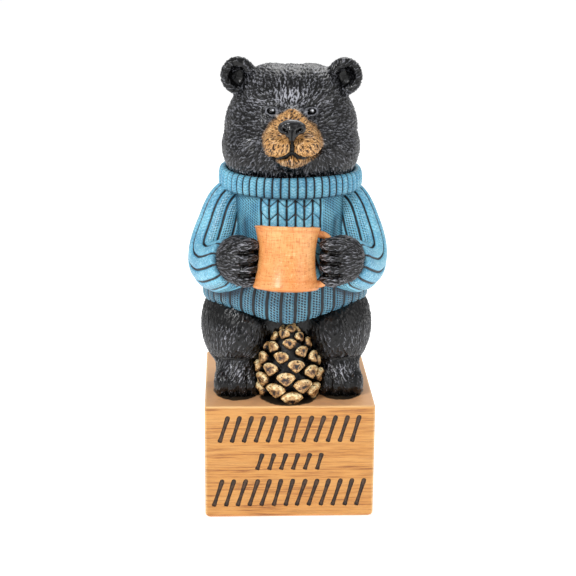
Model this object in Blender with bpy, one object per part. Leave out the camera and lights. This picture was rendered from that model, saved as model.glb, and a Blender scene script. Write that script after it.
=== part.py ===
"""A resin bear in a ribbed roll-neck sweater, holding a mug and sitting on a block with a pine
cone between its feet. The real piece is one casting, so it is one solid here.

Metres, +Z up. The front faces -Y, and the origin is the middle of the block's underside."""

import math

import bmesh
import bpy
import numpy as np
from mathutils import Matrix, Vector
from mathutils.kdtree import KDTree

MM = 0.001

# Block
BLOCK_WIDTH = 113.6 * MM
BLOCK_DEPTH = 115 * MM
BLOCK_HEIGHT = 80.6 * MM
BLOCK_EDGE_ROUND = 1.4 * MM
BLOCK_FOOT_ROUND = 3.5 * MM
BLOCK_CORNER_ROUND = 1.8 * MM

# Rows of chisel strokes on the block's front, in shares of its height and width: (middle of the
# row above the underside, stroke height, row length)
STROKE_ROWS = (
    (0.80, 0.245, 0.90),
    (0.51, 0.155, 0.45),
    (0.23, 0.255, 0.95),
)
STROKE_WIDTH = 3.6 * MM
STROKE_PITCH = 8.0 * MM
STROKE_DEPTH = 0.8 * MM
STROKE_LEAN = math.radians(16)

# The bear, in a frame of its own on the block's top. Its proportions are in parts of its height,
# from the block's top to its ear tips. Its head is a little to one side, and turned
FIGURE_HEIGHT = 223 * MM
PART = FIGURE_HEIGHT / 223
FIGURE_SINK = 1.2 * MM
HEAD_ASIDE = 1.4 * MM
HEAD_TURN = math.radians(-2)
COLLAR_ASIDE = 0.9 * MM

# Clay: how fine the bear's skin is, how far its lumps melt into each other, and the fur's locks
CLAY_VOXEL = 1.7 * MM
CLAY_MELT_STEPS = 5
FUR_TRIANGLES = 2800
FUR_SHARES = {"head": 0.5, "lower_body": 0.34, "paws": 0.16}
LOCK_LENGTH = 13 * MM
LOCK_WIDTH = 5.2 * MM
LOCK_HEIGHT = 1.1 * MM
LOCK_COUNT = 620
CREASE_WIDTH = 3.4 * MM
CREASE_DEPTH = 1.8 * MM

# Sweater
TORSO_RIBS = 44
SLEEVE_RIBS = 12
COLLAR_RIBS = 54
RIB_GROOVE_DEPTH = 1.2 * MM
COLLAR_FOOT = 139.3 * PART
COLLAR_HEIGHT = 12.7 * MM
COLLAR_BULGE = 1.2 * MM
HEM_DIP = 4.3 * MM
HEM_LIFT = 5.8 * MM
HEM_REACH = 30 * MM
HEM_TURN_IN = 3.0 * MM

# Mug
MUG_RIM_RADIUS = 21.3 * MM
MUG_WAIST_RADIUS = 18.3 * MM
MUG_FOOT_RADIUS = 21.4 * MM
MUG_HEIGHT = 39.6 * MM
MUG_WAIST_SHARE = 0.5
MUG_WALL = 2.6 * MM
MUG_FLOOR = 5.0 * MM
MUG_UNDERSIDE_DOME = 2.2 * MM
MUG_LEAN = math.radians(13)
MUG_TIP = math.radians(1.9)
MUG_ASIDE = -3.9 * MM
MUG_SET_IN = 3.0 * MM
HANDLE_THICKNESS = 5.4 * MM
HANDLE_REACH = 11.5 * MM
HANDLE_BACK = 1.5 * MM
HANDLE_MIDDLE_SHARE = 0.49
HANDLE_HALF_SHARE = 0.385
HANDLE_SQUARENESS = 0.7

# Pine cone
CONE_HEIGHT = 54 * MM
CONE_RADIUS = 23 * MM
CONE_CORE_SHARE = 0.74
CONE_SINK = 1.5 * MM
CONE_SCALES = 40
CONE_WIDEST_SHARE = 0.3
SCALE_WIDTH = 13.5 * MM
SCALE_THICKNESS = 6.6 * MM

GOLDEN_ANGLE = math.radians(137.50776)

COLOURS = {"resin": ((0.045, 0.045, 0.05, 1), 0.45)}


def clear_scene():
    for obj in list(bpy.data.objects):
        bpy.data.objects.remove(obj, do_unlink=True)


def place(x, y, z):
    """A point on the bear, from parts of its height to metres in the figure's own frame."""
    return Vector((x, y, z)) * PART


def new_object(name, mesh):
    obj = bpy.data.objects.new(name, mesh)
    bpy.context.scene.collection.objects.link(obj)
    return obj


def figure_piece(name, mesh):
    """A shape in the figure's own frame, set on the block. It only feeds the block's Booleans."""
    obj = new_object(name, mesh)
    obj.location = (0, 0, BLOCK_HEIGHT - FIGURE_SINK)
    obj.hide_render = True
    obj.display_type = "WIRE"
    return obj


def mesh_of(bm, name):
    bmesh.ops.recalc_face_normals(bm, faces=bm.faces)
    mesh = bpy.data.meshes.new(name)
    bm.to_mesh(mesh)
    bm.free()
    return mesh


def evaluated_mesh(obj, name):
    graph = bpy.context.evaluated_depsgraph_get()
    return bpy.data.meshes.new_from_object(obj.evaluated_get(graph)).copy()


# Fur: the lumps of clay that the bear is built up from, in parts of its height


def head_lumps():
    lumps = [
        ((0, 3, 178), (44.5, 40, 42)),
        ((0, -1, 166), (46.3, 43, 34)),
        ((0, -34, 189), (11.5, 16, 10)),
        ((0, -37, 177), (18.3, 18.5, 15)),
        ((0, -43, 164.5), (10.5, 11.5, 6)),
        ((0, -57, 188), (8.3, 5.5, 4.5)),
        ((0, -58, 183.5), (4.6, 4.4, 4.5)),
    ]
    for side in (-1, 1):
        lumps += [
            ((side * 14, 3, 200.5), (22, 30, 19)),
            ((side * 21, -11, 165), (24, 27.5, 22)),
            ((side * 13.5, -21, 202.5), (13, 8.5, 6)),
            ((side * 8.4, -48, 174.3), (10.3, 10.5, 8.4)),
            ((side * 13.2, -33, 194.3), (3.3, 3.6, 3.2)),
        ]
        lumps += ear_lumps(side)
    return lumps


def ear_lumps(side):
    """A cupped ear: a thick rim round three quarters of a thin dish."""
    centre, rim, bead = (side * 35.3, 2, 211), 8.3, 3.7
    lumps = [((centre[0], 7.5, centre[2]), (10.5, 4.2, 11.5))]
    for step in range(9):
        turn = math.radians(-50 + 35 * step)
        x = centre[0] + side * rim * math.cos(turn)
        z = centre[2] + rim * 1.1 * math.sin(turn)
        lumps.append(((x, centre[1], z), (bead,) * 3))
    return lumps


def lower_lumps():
    lumps = [((0, 8, 36), (46, 38, 38)), ((0, -6, 50), (36, 29, 26))]
    for side in (-1, 1):
        lumps += [
            ((side * 31.5 - 0.8, -2, 43), (27.3, 41, 34)),
            ((side * 34, -14, 17), (15.5, 26, 14)),
            ((side * 35, -22, 9.5), (15, 21, 12)),
        ]
        for toe in (-10.2, -3.4, 3.4, 10.2):
            lumps.append(((side * (35 + toe), -36 + abs(toe) * 0.25, 9), (5.2, 9, 10)))
    return lumps


# How far the palm and the fingers lie outside the mug's rim, in parts: the paw on the handle's side
# closes over the handle. Both paws hold the mug at the same share of its height
PAW_REACH = {-1: (9.2, 4.4), 1: (15.6, 8.7)}
PAW_SHARE = 0.406


def paw_grip(mug, side):
    """Where a paw holds the mug, in parts: level with its middle and below half its height."""
    hold = mug + Vector((side * MUG_RIM_RADIUS, 0, MUG_HEIGHT * PAW_SHARE))
    return hold / PART


def paw_lumps(mug):
    lumps = []
    for side in (-1, 1):
        hold = paw_grip(mug, side)
        palm, fingers = PAW_REACH[side]
        lumps.append((hold + Vector((side * palm, 10.3, 0)), (14.8, 13, 16)))
        for finger in (11.5, 4.0, -3.5, -11):
            lumps.append((hold + Vector((side * fingers, 2.8, finger)), (9, 6.5, 4.9)))
    return lumps


def clay(name, lumps):
    """One closed skin over overlapping lumps, melted together a little."""
    bm = bmesh.new()
    for centre, radii in lumps:
        size = Matrix.Diagonal((*(r * PART for r in radii), 1))
        where = Matrix.Translation(place(*centre)) @ size
        bmesh.ops.create_icosphere(bm, subdivisions=4, radius=1, matrix=where)
    obj = figure_piece(name, mesh_of(bm, name))
    skin = obj.modifiers.new("skin", "REMESH")
    skin.mode = "VOXEL"
    skin.voxel_size = CLAY_VOXEL
    melt = obj.modifiers.new("melt", "SMOOTH")
    melt.factor = 0.5
    melt.iterations = CLAY_MELT_STEPS
    mesh = evaluated_mesh(obj, name)
    obj.modifiers.clear()
    obj.data = mesh
    return obj


def fur_flow(point):
    """Which way the fur lies: back from the nose on the head, inwards on the paws, else down."""
    nose, shoulder = place(0, -62, 190), place(0, 0, 140)
    if point.z > shoulder.z:
        return point - nose
    if point.y < place(0, -48, 0).y and point.z > place(0, 0, 75).z:
        return Vector((-point.x, 0, 0))
    return Vector((0.25 * point.x, 0, -PART * 30))


def carve_locks(mesh, seed):
    """Raises overlapping tapered locks that follow the fur's flow."""
    chance = np.random.default_rng(seed)
    count = len(mesh.vertices)
    tree = KDTree(count)
    for vertex in mesh.vertices:
        tree.insert(vertex.co, vertex.index)
    tree.balance()
    points = np.array([v.co for v in mesh.vertices])
    normals = np.array([v.normal for v in mesh.vertices])
    lift = np.zeros(count)
    for index in chance.choice(count, LOCK_COUNT, replace=False):
        root = mesh.vertices[int(index)]
        along = np.array(fur_flow(root.co))
        along = along - normals[index] * (along @ normals[index])
        along /= np.linalg.norm(along) + 1e-9
        across = np.cross(normals[index], along)
        near = [i for _, i, _ in tree.find_range(root.co, LOCK_LENGTH / 2)]
        offset = points[near] - points[index]
        u = offset @ along / (LOCK_LENGTH / 2)
        v = offset @ across / (LOCK_WIDTH / 2)
        taper = np.clip(1 - 0.35 * (u + 1), 0.05, 1)
        ridge = (1 - np.clip(np.abs(v) / taper, 0, 1)) * (0.55 + 0.45 * u)
        lift[near] = np.maximum(lift[near], ridge * LOCK_HEIGHT * (np.abs(u) < 1))
    moved = points + normals * lift[:, None]
    mesh.vertices.foreach_set("co", moved.astype(np.float32).ravel())
    mesh.update()


def carve_creases(mesh, creases):
    """Presses a groove along each line, from (start, end) points on the bear."""
    points = np.array([v.co for v in mesh.vertices])
    normals = np.array([v.normal for v in mesh.vertices])
    depth = np.zeros(len(points))
    for start, end in creases:
        a, b = np.array(place(*start)), np.array(place(*end))
        share = np.clip((points - a) @ (b - a) / ((b - a) @ (b - a)), 0, 1)
        away = np.linalg.norm(points - a - share[:, None] * (b - a), axis=1)
        depth = np.maximum(depth, CREASE_DEPTH * np.clip(1 - away / CREASE_WIDTH, 0, 1))
    moved = points - normals * depth[:, None]
    mesh.vertices.foreach_set("co", moved.astype(np.float32).ravel())
    mesh.update()


def toe_creases():
    found = []
    for side in (-1, 1):
        for gap in (-6.8, 0, 6.8):
            x = side * (35 + gap)
            found.append(((x, -41, 19), (x, -45, 3)))
    return found


def finger_creases(mug):
    found = []
    for side in (-1, 1):
        hold, fingers = paw_grip(mug, side), PAW_REACH[side][1]
        for gap in (7.8, 0.3, -7.2):
            start = hold + Vector((side * (fingers - 7.5), -1.7, gap))
            found.append((start, hold + Vector((side * (fingers + 4.5), -4.7, gap))))
    return found


def mouth_creases():
    return [
        ((0, -61, 179), (0, -59, 169.5)),
        ((0, -59, 169.5), (-13, -53, 167)),
        ((0, -59, 169.5), (13, -53, 167)),
    ]


def fur_piece(name, lumps, creases, seed):
    obj = clay(name, lumps)
    carve_locks(obj.data, seed)
    carve_creases(obj.data, creases)
    thin = obj.modifiers.new("fewer faces", "DECIMATE")
    faces = sum(len(p.vertices) - 2 for p in obj.data.polygons)
    thin.ratio = min(1.0, FUR_TRIANGLES * FUR_SHARES[name] / faces)
    return obj


# Sweater: lofts whose cross sections are cut by rib grooves


def rib_columns(ribs):
    """(turn, groove depth) for each column of a ribbed section: a crest, then a groove."""
    columns = []
    for rib in range(ribs):
        columns.append((2 * math.pi * rib / ribs, 0))
        columns.append((2 * math.pi * (rib + 0.5) / ribs, RIB_GROOVE_DEPTH))
    return columns


def skin_over(rings, name):
    """A closed skin through equal rings of points, with a fan at each end."""
    bm = bmesh.new()
    rows = [[bm.verts.new(p) for p in ring] for ring in rings]
    count = len(rows[0])
    for low, high in zip(rows, rows[1:]):
        for i in range(count):
            j = (i + 1) % count
            bm.faces.new((low[i], low[j], high[j], high[i]))
    for row in (rows[0], rows[-1]):
        middle = bm.verts.new(sum((v.co for v in row), Vector()) / count)
        for i in range(count):
            bm.faces.new((row[i], row[(i + 1) % count], middle))
    return mesh_of(bm, name)


def loft(name, rings):
    return figure_piece(name, skin_over(rings, name))


def oval_ring(middle, half_width, half_depth, columns, height_of=None):
    """A level oval. Turn 0 is the front."""
    ring = []
    for turn, cut in columns:
        x = (half_width - cut) * math.sin(turn)
        y = -(half_depth - cut) * math.cos(turn)
        drop = height_of(turn) if height_of else 0
        ring.append(middle + Vector((x, y, drop)))
    return ring


# The torso's sections: (height, half width, half depth, how far back its middle lies), in parts
TORSO_SECTIONS = (
    (60.5, 55, 48.5, 1),
    (65, 57, 50.5, 1),
    (77, 56, 50.5, 0),
    (92, 49, 49, -1),
    (106, 42.5, 47.5, -1),
    (120, 40.5, 45.5, -1),
    (133, 41, 43.5, 0),
    (143, 39, 40, 0),
)


def torso_front(height):
    """How far forward the sweater's front lies at a height, in metres."""
    heights = [s[0] for s in TORSO_SECTIONS]
    fronts = [s[2] - s[3] for s in TORSO_SECTIONS]
    return float(np.interp(height, heights, fronts)) * PART


def hem_line(turn):
    """How far the hem lies above its section: low between the thighs, and lifted where it lies
    on them."""
    lift = abs(math.sin(2 * turn)) ** 1.3 if math.cos(turn) > 0 else 0.0
    return HEM_LIFT * lift - HEM_DIP * math.cos(turn)


def torso():
    columns = rib_columns(TORSO_RIBS)
    lowest = TORSO_SECTIONS[0][0]
    rings = []
    for height, half_width, half_depth, back in TORSO_SECTIONS:
        middle = place(0, back, height)
        follows = max(0.0, 1 - (height - lowest) * PART / HEM_REACH)
        rings.append(oval_ring(middle, half_width * PART, half_depth * PART, columns,
                               lambda turn, follows=follows: follows * hem_line(turn)))
    height, half_width, half_depth, back = TORSO_SECTIONS[0]
    rings.insert(0, oval_ring(place(0, back, height), half_width * PART - HEM_TURN_IN,
                              half_depth * PART - HEM_TURN_IN, columns,
                              lambda turn: HEM_TURN_IN * 0.3 + hem_line(turn)))
    return loft("sweater_torso", rings)


def collar():
    columns = rib_columns(COLLAR_RIBS)
    plain = [(turn, 0) for turn, _ in columns]
    foot = Vector((COLLAR_ASIDE, 0, COLLAR_FOOT))
    half_width, half_depth = 46.8 * PART, 45.3 * PART
    rings = [oval_ring(foot, half_width - 4 * MM, half_depth - 4 * MM, plain)]
    for share, bulge in ((0.05, 0.3), (0.35, 1.0), (0.92, 0.7)):
        grow = COLLAR_BULGE * bulge
        middle = foot + Vector((0, 0, COLLAR_HEIGHT * share))
        rings.append(oval_ring(middle, half_width + grow, half_depth + grow, columns))
    top = foot + Vector((0, 0, COLLAR_HEIGHT))
    rings.append(oval_ring(top, half_width - 1.5 * MM, half_depth - 1.5 * MM, plain))
    return loft("sweater_collar", rings)


# A sleeve's path: (x, y, height, radius), in parts, from inside the shoulder to the cuff
SLEEVE_STATIONS = (
    (28, -4, 134, 12),
    (38.8, -8, 126.5, 14.8),
    (44.8, -12, 112.5, 17),
    (48, -15.5, 100, 17.9),
    (48.1, -22, 92.5, 17.9),
    (45.3, -32, 91, 17.2),
    (41, -41, 94, 16.7),
    (37.5, -46.5, 97, 16.6),
    (36, -49.5, 98.5, 15.8),
)


def sleeve(name, side):
    path = [place(side * x, y, z) for x, y, z, _ in SLEEVE_STATIONS]
    columns = rib_columns(SLEEVE_RIBS)
    rings = []
    for i, (middle, station) in enumerate(zip(path, SLEEVE_STATIONS)):
        ahead = (path[min(i + 1, len(path) - 1)] - path[max(i - 1, 0)]).normalized()
        front = Vector((0, -1, 0)) - ahead * ahead.dot(Vector((0, -1, 0)))
        if i > 3:
            front = Vector((0, 0, 1)) * 0.8 + front
            front = front - ahead * ahead.dot(front)
        front.normalize()
        aside = ahead.cross(front)
        ring = []
        for turn, cut in columns:
            reach = station[3] * PART - cut
            ring.append(middle + (front * math.cos(turn) + aside * math.sin(turn)) * reach)
        rings.append(ring)
    return loft(name, rings)


# Mug


def mug_foot():
    """The middle of the mug's underside, set into the sweater by the mug's waist."""
    back = torso_front(104) - MUG_SET_IN
    return place(0, 0, 85) + Vector((MUG_ASIDE, -back - MUG_WAIST_RADIUS, 0))


def mug_radius(share):
    """The mug's outer radius at a share of its height, flaring both ways from the waist."""
    if share < MUG_WAIST_SHARE:
        away, end = (MUG_WAIST_SHARE - share) / MUG_WAIST_SHARE, MUG_FOOT_RADIUS
    else:
        away, end = (share - MUG_WAIST_SHARE) / (1 - MUG_WAIST_SHARE), MUG_RIM_RADIUS
    return MUG_WAIST_RADIUS + (end - MUG_WAIST_RADIUS) * away ** 2


def turned(name, profile, where, sides):
    """A body turned round +Z from (radius, height) points, ending on the axis at both ends."""
    rings = []
    for radius, height in profile:
        rings.append([
            where @ Vector((radius * math.sin(t), radius * math.cos(t), height))
            for t in (2 * math.pi * i / sides for i in range(sides))
        ])
    return loft(name, rings)


def mug_placing(foot):
    lean = Matrix.Rotation(-MUG_LEAN, 4, "X") @ Matrix.Rotation(MUG_TIP, 4, "Y")
    return Matrix.Translation(foot) @ lean


def mug_body(foot):
    profile = [(MUG_FOOT_RADIUS * 0.55, -MUG_UNDERSIDE_DOME),
               (MUG_FOOT_RADIUS * 0.9, -MUG_UNDERSIDE_DOME * 0.4)]
    for step in range(7):
        share = step / 6
        profile.append((mug_radius(share), MUG_HEIGHT * share))
    return turned("mug", profile, mug_placing(foot), 24)


def mug_bore(foot):
    profile = [(MUG_WAIST_RADIUS - MUG_WALL - 1.5 * MM, MUG_FLOOR)]
    for share in (0.18, 0.5, 0.8, 1.0):
        profile.append((mug_radius(max(share, 0.3)) - MUG_WALL, MUG_HEIGHT * share))
    profile.append((MUG_RIM_RADIUS - MUG_WALL, MUG_HEIGHT + 2 * MM))
    return turned("mug_bore", profile, mug_placing(foot), 24)


def squared(share):
    """Pulls a share of a half circle out towards the corners of its box."""
    return math.copysign(abs(share) ** HANDLE_SQUARENESS, share)


def mug_handle(foot):
    """A C-shaped loop beside the mug, whose upright the bear's paw closes round."""
    where = mug_placing(foot)
    middle = Vector((MUG_WAIST_RADIUS - 1 * MM, HANDLE_BACK, MUG_HEIGHT * HANDLE_MIDDLE_SHARE))
    half_height = MUG_HEIGHT * HANDLE_HALF_SHARE
    rings = []
    for step in range(13):
        turn = math.radians(-90 + 15 * step)
        out = Vector((math.cos(turn), 0, math.sin(turn)))
        path = middle + Vector((squared(out.x) * HANDLE_REACH, 0, squared(out.z) * half_height))
        ring = []
        for side in range(8):
            angle = 2 * math.pi * side / 8
            offset = out * math.cos(angle) + Vector((0, 1, 0)) * math.sin(angle)
            ring.append(where @ (path + offset * HANDLE_THICKNESS / 2))
        rings.append(ring)
    lead = Vector((-MUG_WALL, 0, 0))
    rings.insert(0, [p + lead for p in rings[0]])
    rings.append([p + lead for p in rings[-1]])
    return loft("mug_handle", rings)


# Pine cone


def cone_radius(share):
    """The cone's radius at a share of its height: full low down and rounded off to the top."""
    if share < CONE_WIDEST_SHARE:
        return CONE_RADIUS * (1 - 0.25 * (1 - share / CONE_WIDEST_SHARE) ** 2)
    return CONE_RADIUS * (1 - ((share - CONE_WIDEST_SHARE) / (1 - CONE_WIDEST_SHARE)) ** 2.2)


def pine_cone(foot):
    """A turned core with its scales joined on. Neighbouring scales run into each other."""
    core = cone_core(foot)
    step = join_or_cut(core, cone_scales(foot), "UNION")
    step.use_self = True
    return core


def cone_core(foot):
    steps = 7
    profile = []
    for step in range(steps + 1):
        share = 0.94 * step / steps
        profile.append((cone_radius(share) * CONE_CORE_SHARE, CONE_HEIGHT * share))
    return turned("cone_core", profile, Matrix.Translation(foot), 12)


def cone_scales(foot):
    """Woody scales in a golden spiral, each a lozenge wedge with a blunt end."""
    bm = bmesh.new()
    lozenge = ((0, -0.5), (0.5, 0), (0, 0.5), (-0.5, 0))
    for i in range(CONE_SCALES):
        share = 0.05 + 0.9 * (i / (CONE_SCALES - 1)) ** 0.9
        size = 1 - 0.52 * share
        turn = GOLDEN_ANGLE * i
        climb = math.radians(-8 + 75 * share)
        outward = Vector((math.sin(turn), -math.cos(turn), 0))
        aside = Vector((math.cos(turn), math.sin(turn), 0))
        axis = outward * math.cos(climb) + Vector((0, 0, math.sin(climb)))
        up = Vector((0, 0, math.cos(climb))) - outward * math.sin(climb)
        end = foot + outward * cone_radius(share) + Vector((0, 0, CONE_HEIGHT * share))
        reach = 11 * MM * size
        rows = []
        for back, grow in ((1.0, 0.45), (0.3, 1.0), (0.0, 0.66)):
            middle = end - axis * reach * back
            rows.append([
                bm.verts.new(middle + aside * a * SCALE_WIDTH * size * grow
                             + up * b * SCALE_THICKNESS * size * grow)
                for a, b in lozenge
            ])
        for low, high in zip(rows, rows[1:]):
            for j in range(4):
                bm.faces.new((low[j], low[(j + 1) % 4], high[(j + 1) % 4], high[j]))
        bm.faces.new(rows[0])
        bm.faces.new(rows[-1])
    return figure_piece("cone_scales", mesh_of(bm, "cone_scales"))


# Block


def block_ring(inset, height):
    """A level rectangle with rounded corners, inset from the block's sides."""
    ring = []
    for corner in range(4):
        turn = math.pi / 2 * corner
        across = BLOCK_WIDTH / 2 - inset - BLOCK_CORNER_ROUND
        along = BLOCK_DEPTH / 2 - inset - BLOCK_CORNER_ROUND
        middle = Vector((across if corner in (0, 3) else -across,
                         along if corner in (0, 1) else -along, height))
        for step in range(4):
            angle = turn + math.pi / 6 * step
            ring.append(middle + Vector((math.cos(angle), math.sin(angle), 0)) * BLOCK_CORNER_ROUND)
    return ring


def rounding(radius, step, steps):
    """(inset, rise) of a quarter round, from lying flat at step 0 to upright at the last."""
    turn = math.pi / 2 * step / steps
    return radius * (1 - math.sin(turn)), radius * (1 - math.cos(turn))


def block():
    """A block with eased edges, rounder round its foot."""
    rings = []
    for step in range(5):
        inset, rise = rounding(BLOCK_FOOT_ROUND, step, 4)
        rings.append(block_ring(inset, rise))
    for step in range(3):
        inset, rise = rounding(BLOCK_EDGE_ROUND, 2 - step, 2)
        rings.append(block_ring(inset, BLOCK_HEIGHT - rise))
    return new_object("bear_figurine", skin_over(rings, "bear_figurine"))


def chisel_strokes():
    """Leaning lozenge cutters, one for each stroke, all with the same lean."""
    bm = bmesh.new()
    front = -BLOCK_DEPTH / 2
    lean = Vector((math.sin(STROKE_LEAN), 0, math.cos(STROKE_LEAN)))
    aside = Vector((lean.z, 0, -lean.x))
    for middle_share, height_share, length_share in STROKE_ROWS:
        height = height_share * BLOCK_HEIGHT
        count = max(1, int(length_share * BLOCK_WIDTH / STROKE_PITCH))
        for i in range(count):
            x = (i - (count - 1) / 2) * STROKE_PITCH
            middle = Vector((x, 0, middle_share * BLOCK_HEIGHT))
            outline = ((0.15, 0.5), (0.5, -0.3), (-0.15, -0.5), (-0.5, 0.3))
            faces = []
            for y in (front - 2 * MM, front + STROKE_DEPTH):
                faces.append([
                    bm.verts.new(middle + aside * a * STROKE_WIDTH + lean * b * height
                                 + Vector((0, y, 0)))
                    for a, b in outline
                ])
            outside, inside = faces
            bm.faces.new(outside)
            bm.faces.new(inside)
            for j in range(4):
                k = (j + 1) % 4
                bm.faces.new((outside[j], outside[k], inside[k], inside[j]))
    obj = new_object("chisel_strokes", mesh_of(bm, "chisel_strokes"))
    obj.hide_render = True
    obj.display_type = "WIRE"
    return obj


def join_or_cut(target, other, operation, solver="EXACT"):
    """One Boolean step. The shapes carved in clay and the ribbed lofts meet at so many thin
    angles that the exact solver tears them, so they are joined by the manifold one."""
    step = target.modifiers.new(f"{operation.lower()} {other.name}", "BOOLEAN")
    step.operation = operation
    step.solver = solver
    step.object = other
    return step


def paint(obj, name):
    colour, roughness = COLOURS[name]
    material = bpy.data.materials.new(name)
    material.use_nodes = True
    shader = material.node_tree.nodes["Principled BSDF"]
    shader.inputs["Base Color"].default_value = colour
    shader.inputs["Roughness"].default_value = roughness
    shader.inputs["Metallic"].default_value = 0
    obj.data.materials.append(material)


def main():
    clear_scene()
    foot = mug_foot()
    cone_foot = place(-0.3, -35, 0) + Vector((0, 0, FIGURE_SINK - CONE_SINK))
    head = fur_piece("head", head_lumps(), mouth_creases(), 1)
    head.location.x = HEAD_ASIDE
    head.rotation_euler.z = HEAD_TURN
    lower = fur_piece("lower_body", lower_lumps(), toe_creases(), 2)
    paws = fur_piece("paws", paw_lumps(foot), finger_creases(foot), 3)
    pieces = [
        torso(), lower, head, collar(), sleeve("sleeve_right", -1), sleeve("sleeve_left", 1),
        mug_body(foot), paws, mug_handle(foot), pine_cone(cone_foot),
    ]
    figurine = block()
    paint(figurine, "resin")
    join_or_cut(figurine, chisel_strokes(), "DIFFERENCE")
    for piece in pieces:
        join_or_cut(figurine, piece, "UNION", "MANIFOLD")
    join_or_cut(figurine, mug_bore(foot), "DIFFERENCE", "MANIFOLD")


main()
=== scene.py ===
# %% [markdown]
# # A painted resin bear on a block
# The real thing is one hollow casting, sculpted in clay and painted by hand: a black bear in a blue
# roll-neck sweater with a mug in its paws and a pine cone between its feet. This file dresses the
# CAD solid. Each thing that was sculpted differently gets a piece of its own: carved fur, knitted
# ribs, a turned mug, a scaly cone and a wooden-looking block.
# We start with the frame, which stays as it is.

# %% Load the frame
import math

import bmesh
import bpy
import numpy as np
from mathutils import Matrix, Vector
from mathutils.bvhtree import BVHTree
from mathutils.kdtree import KDTree


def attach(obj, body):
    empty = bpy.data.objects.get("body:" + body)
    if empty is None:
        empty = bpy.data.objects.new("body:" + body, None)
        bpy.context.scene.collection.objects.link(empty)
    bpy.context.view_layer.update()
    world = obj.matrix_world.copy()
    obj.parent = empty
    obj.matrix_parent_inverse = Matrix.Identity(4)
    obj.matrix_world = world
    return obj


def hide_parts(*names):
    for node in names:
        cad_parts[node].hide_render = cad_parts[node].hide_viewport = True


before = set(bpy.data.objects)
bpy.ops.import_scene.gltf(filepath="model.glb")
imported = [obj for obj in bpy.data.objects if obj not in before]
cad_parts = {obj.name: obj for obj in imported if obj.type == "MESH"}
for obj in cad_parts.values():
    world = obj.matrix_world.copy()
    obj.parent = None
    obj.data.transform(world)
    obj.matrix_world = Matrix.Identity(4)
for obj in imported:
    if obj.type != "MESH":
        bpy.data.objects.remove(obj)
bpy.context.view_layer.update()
NODE, BODY, FINISH = "bear_figurine", "root", "painted_resin"

# %% [markdown]
# ## Sizes
# The solid's own numbers are used again, so every piece lands where the solid is. The bear is
# measured in millimetres from a seat on the block's top, and only the last step turns its points
# into metres. That keeps the long lists of numbers short and easy to read.

# %% Units and the bear's seat
MM = 0.001
BLOCK = np.array((113.6, 115.0, 80.6))
SEAT = np.array((0.0, 0.0, BLOCK[2] - 1.2))


def smooth_step(low, high, value):
    share = np.clip((value - low) / (high - low), 0, 1)
    return share * share * (3 - 2 * share)


def hump(away, width):
    """1 at no distance, and falling off softly within about the width."""
    return np.exp(-(away / width) ** 2)


def full_turn(count):
    """Angles round a circle, without the last one, which would be the first again."""
    return np.linspace(0, 2 * math.pi, count, endpoint=False)


def through(stations, share):
    """A smooth curve through rows of numbers: share 0 is the first row and 1 the last."""
    rows = np.array(stations, float)
    where = np.clip(np.asarray(share, float), 0, 1) * (len(rows) - 1)
    low = np.minimum(where.astype(int), len(rows) - 2)
    t = (where - low)[..., None]
    slope = np.gradient(rows, axis=0)
    a, b, ma, mb = rows[low], rows[low + 1], slope[low], slope[low + 1]
    return ((2 * t**3 - 3 * t**2 + 1) * a + (t**3 - 2 * t**2 + t) * ma
            + (3 * t**2 - 2 * t**3) * b + (t**3 - t**2) * mb)


print("the bear sits at", SEAT, "mm")

# %% [markdown]
# ## Camera, light and floor
# The block's edges in the photo give the viewing angle: about 16 degrees down with a long lens.
# A pale floor fills the frame. The light is a soft studio: a bright even surround, a large panel
# from the upper left, which gives the varnish its highlights, and a weaker one from behind.

# %% Camera
CAMERA_PITCH, CAMERA_YAW, CAMERA_ROLL = math.radians(16.3), math.radians(2.5), math.radians(0.5)
camera = bpy.data.objects.new("camera", bpy.data.cameras.new("camera"))
camera.data.lens = 87.2
camera.data.sensor_width = 36
camera.data.clip_start = 0.01
camera.matrix_world = (
    Matrix.Translation((-0.0022 - 0.865 * math.tan(CAMERA_YAW), -0.9225, 0.4156))
    @ Matrix.Rotation(-CAMERA_YAW, 4, "Z")
    @ Matrix.Rotation(math.pi / 2 - CAMERA_PITCH, 4, "X")
    @ Matrix.Rotation(CAMERA_ROLL, 4, "Z")
)
bpy.context.scene.collection.objects.link(camera)
bpy.context.scene.camera = camera
bpy.context.scene.view_settings.view_transform = "Standard"
print("camera at", [round(c, 3) for c in camera.location])


# %% Lights
def soft_panel(name, place, size, power):
    """A square lamp that faces the bear's chest."""
    lamp = bpy.data.lights.new(name, "AREA")
    lamp.size = size
    lamp.energy = power
    panel = bpy.data.objects.new(name, lamp)
    panel.location = place
    aim = Vector((0, 0, 0.16)) - panel.location
    panel.rotation_euler = aim.to_track_quat("-Z", "Y").to_euler()
    bpy.context.scene.collection.objects.link(panel)


soft_panel("key_panel", (-0.62, -0.85, 0.95), 0.34, 9.5)
soft_panel("fill_panel", (0.95, -0.7, 0.5), 0.6, 3.0)
soft_panel("back_panel", (0.25, 0.9, 1.1), 0.8, 6.0)
world = bpy.data.worlds.new("studio")
world.use_nodes = True
world.node_tree.nodes["Background"].inputs["Color"].default_value = (1, 1, 1, 1)
world.node_tree.nodes["Background"].inputs["Strength"].default_value = 0.55
bpy.context.scene.world = world
print("3 panels and a white surround")

# %% [markdown]
# ## Small helpers for nodes
# Paint on a casting is layers: a dark wash that stays in the hollows, a body colour, and a pale
# dry brush that only touches the ridges. All three follow the carving, so each piece carries its
# carving's height as an attribute, and the shader mixes the layers by it. Distances to painted
# lines are attributes too: they stay straight between vertices, so a line's edge stays crisp.


# %% Node helpers
def srgb(red, green, blue):
    """A colour as a paint chart gives it, 0 to 255, turned into the light values of a shader."""
    shares = (c / 255 for c in (red, green, blue))
    return (*(s / 12.92 if s <= 0.04045 else ((s + 0.055) / 1.055) ** 2.4 for s in shares), 1)


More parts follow.
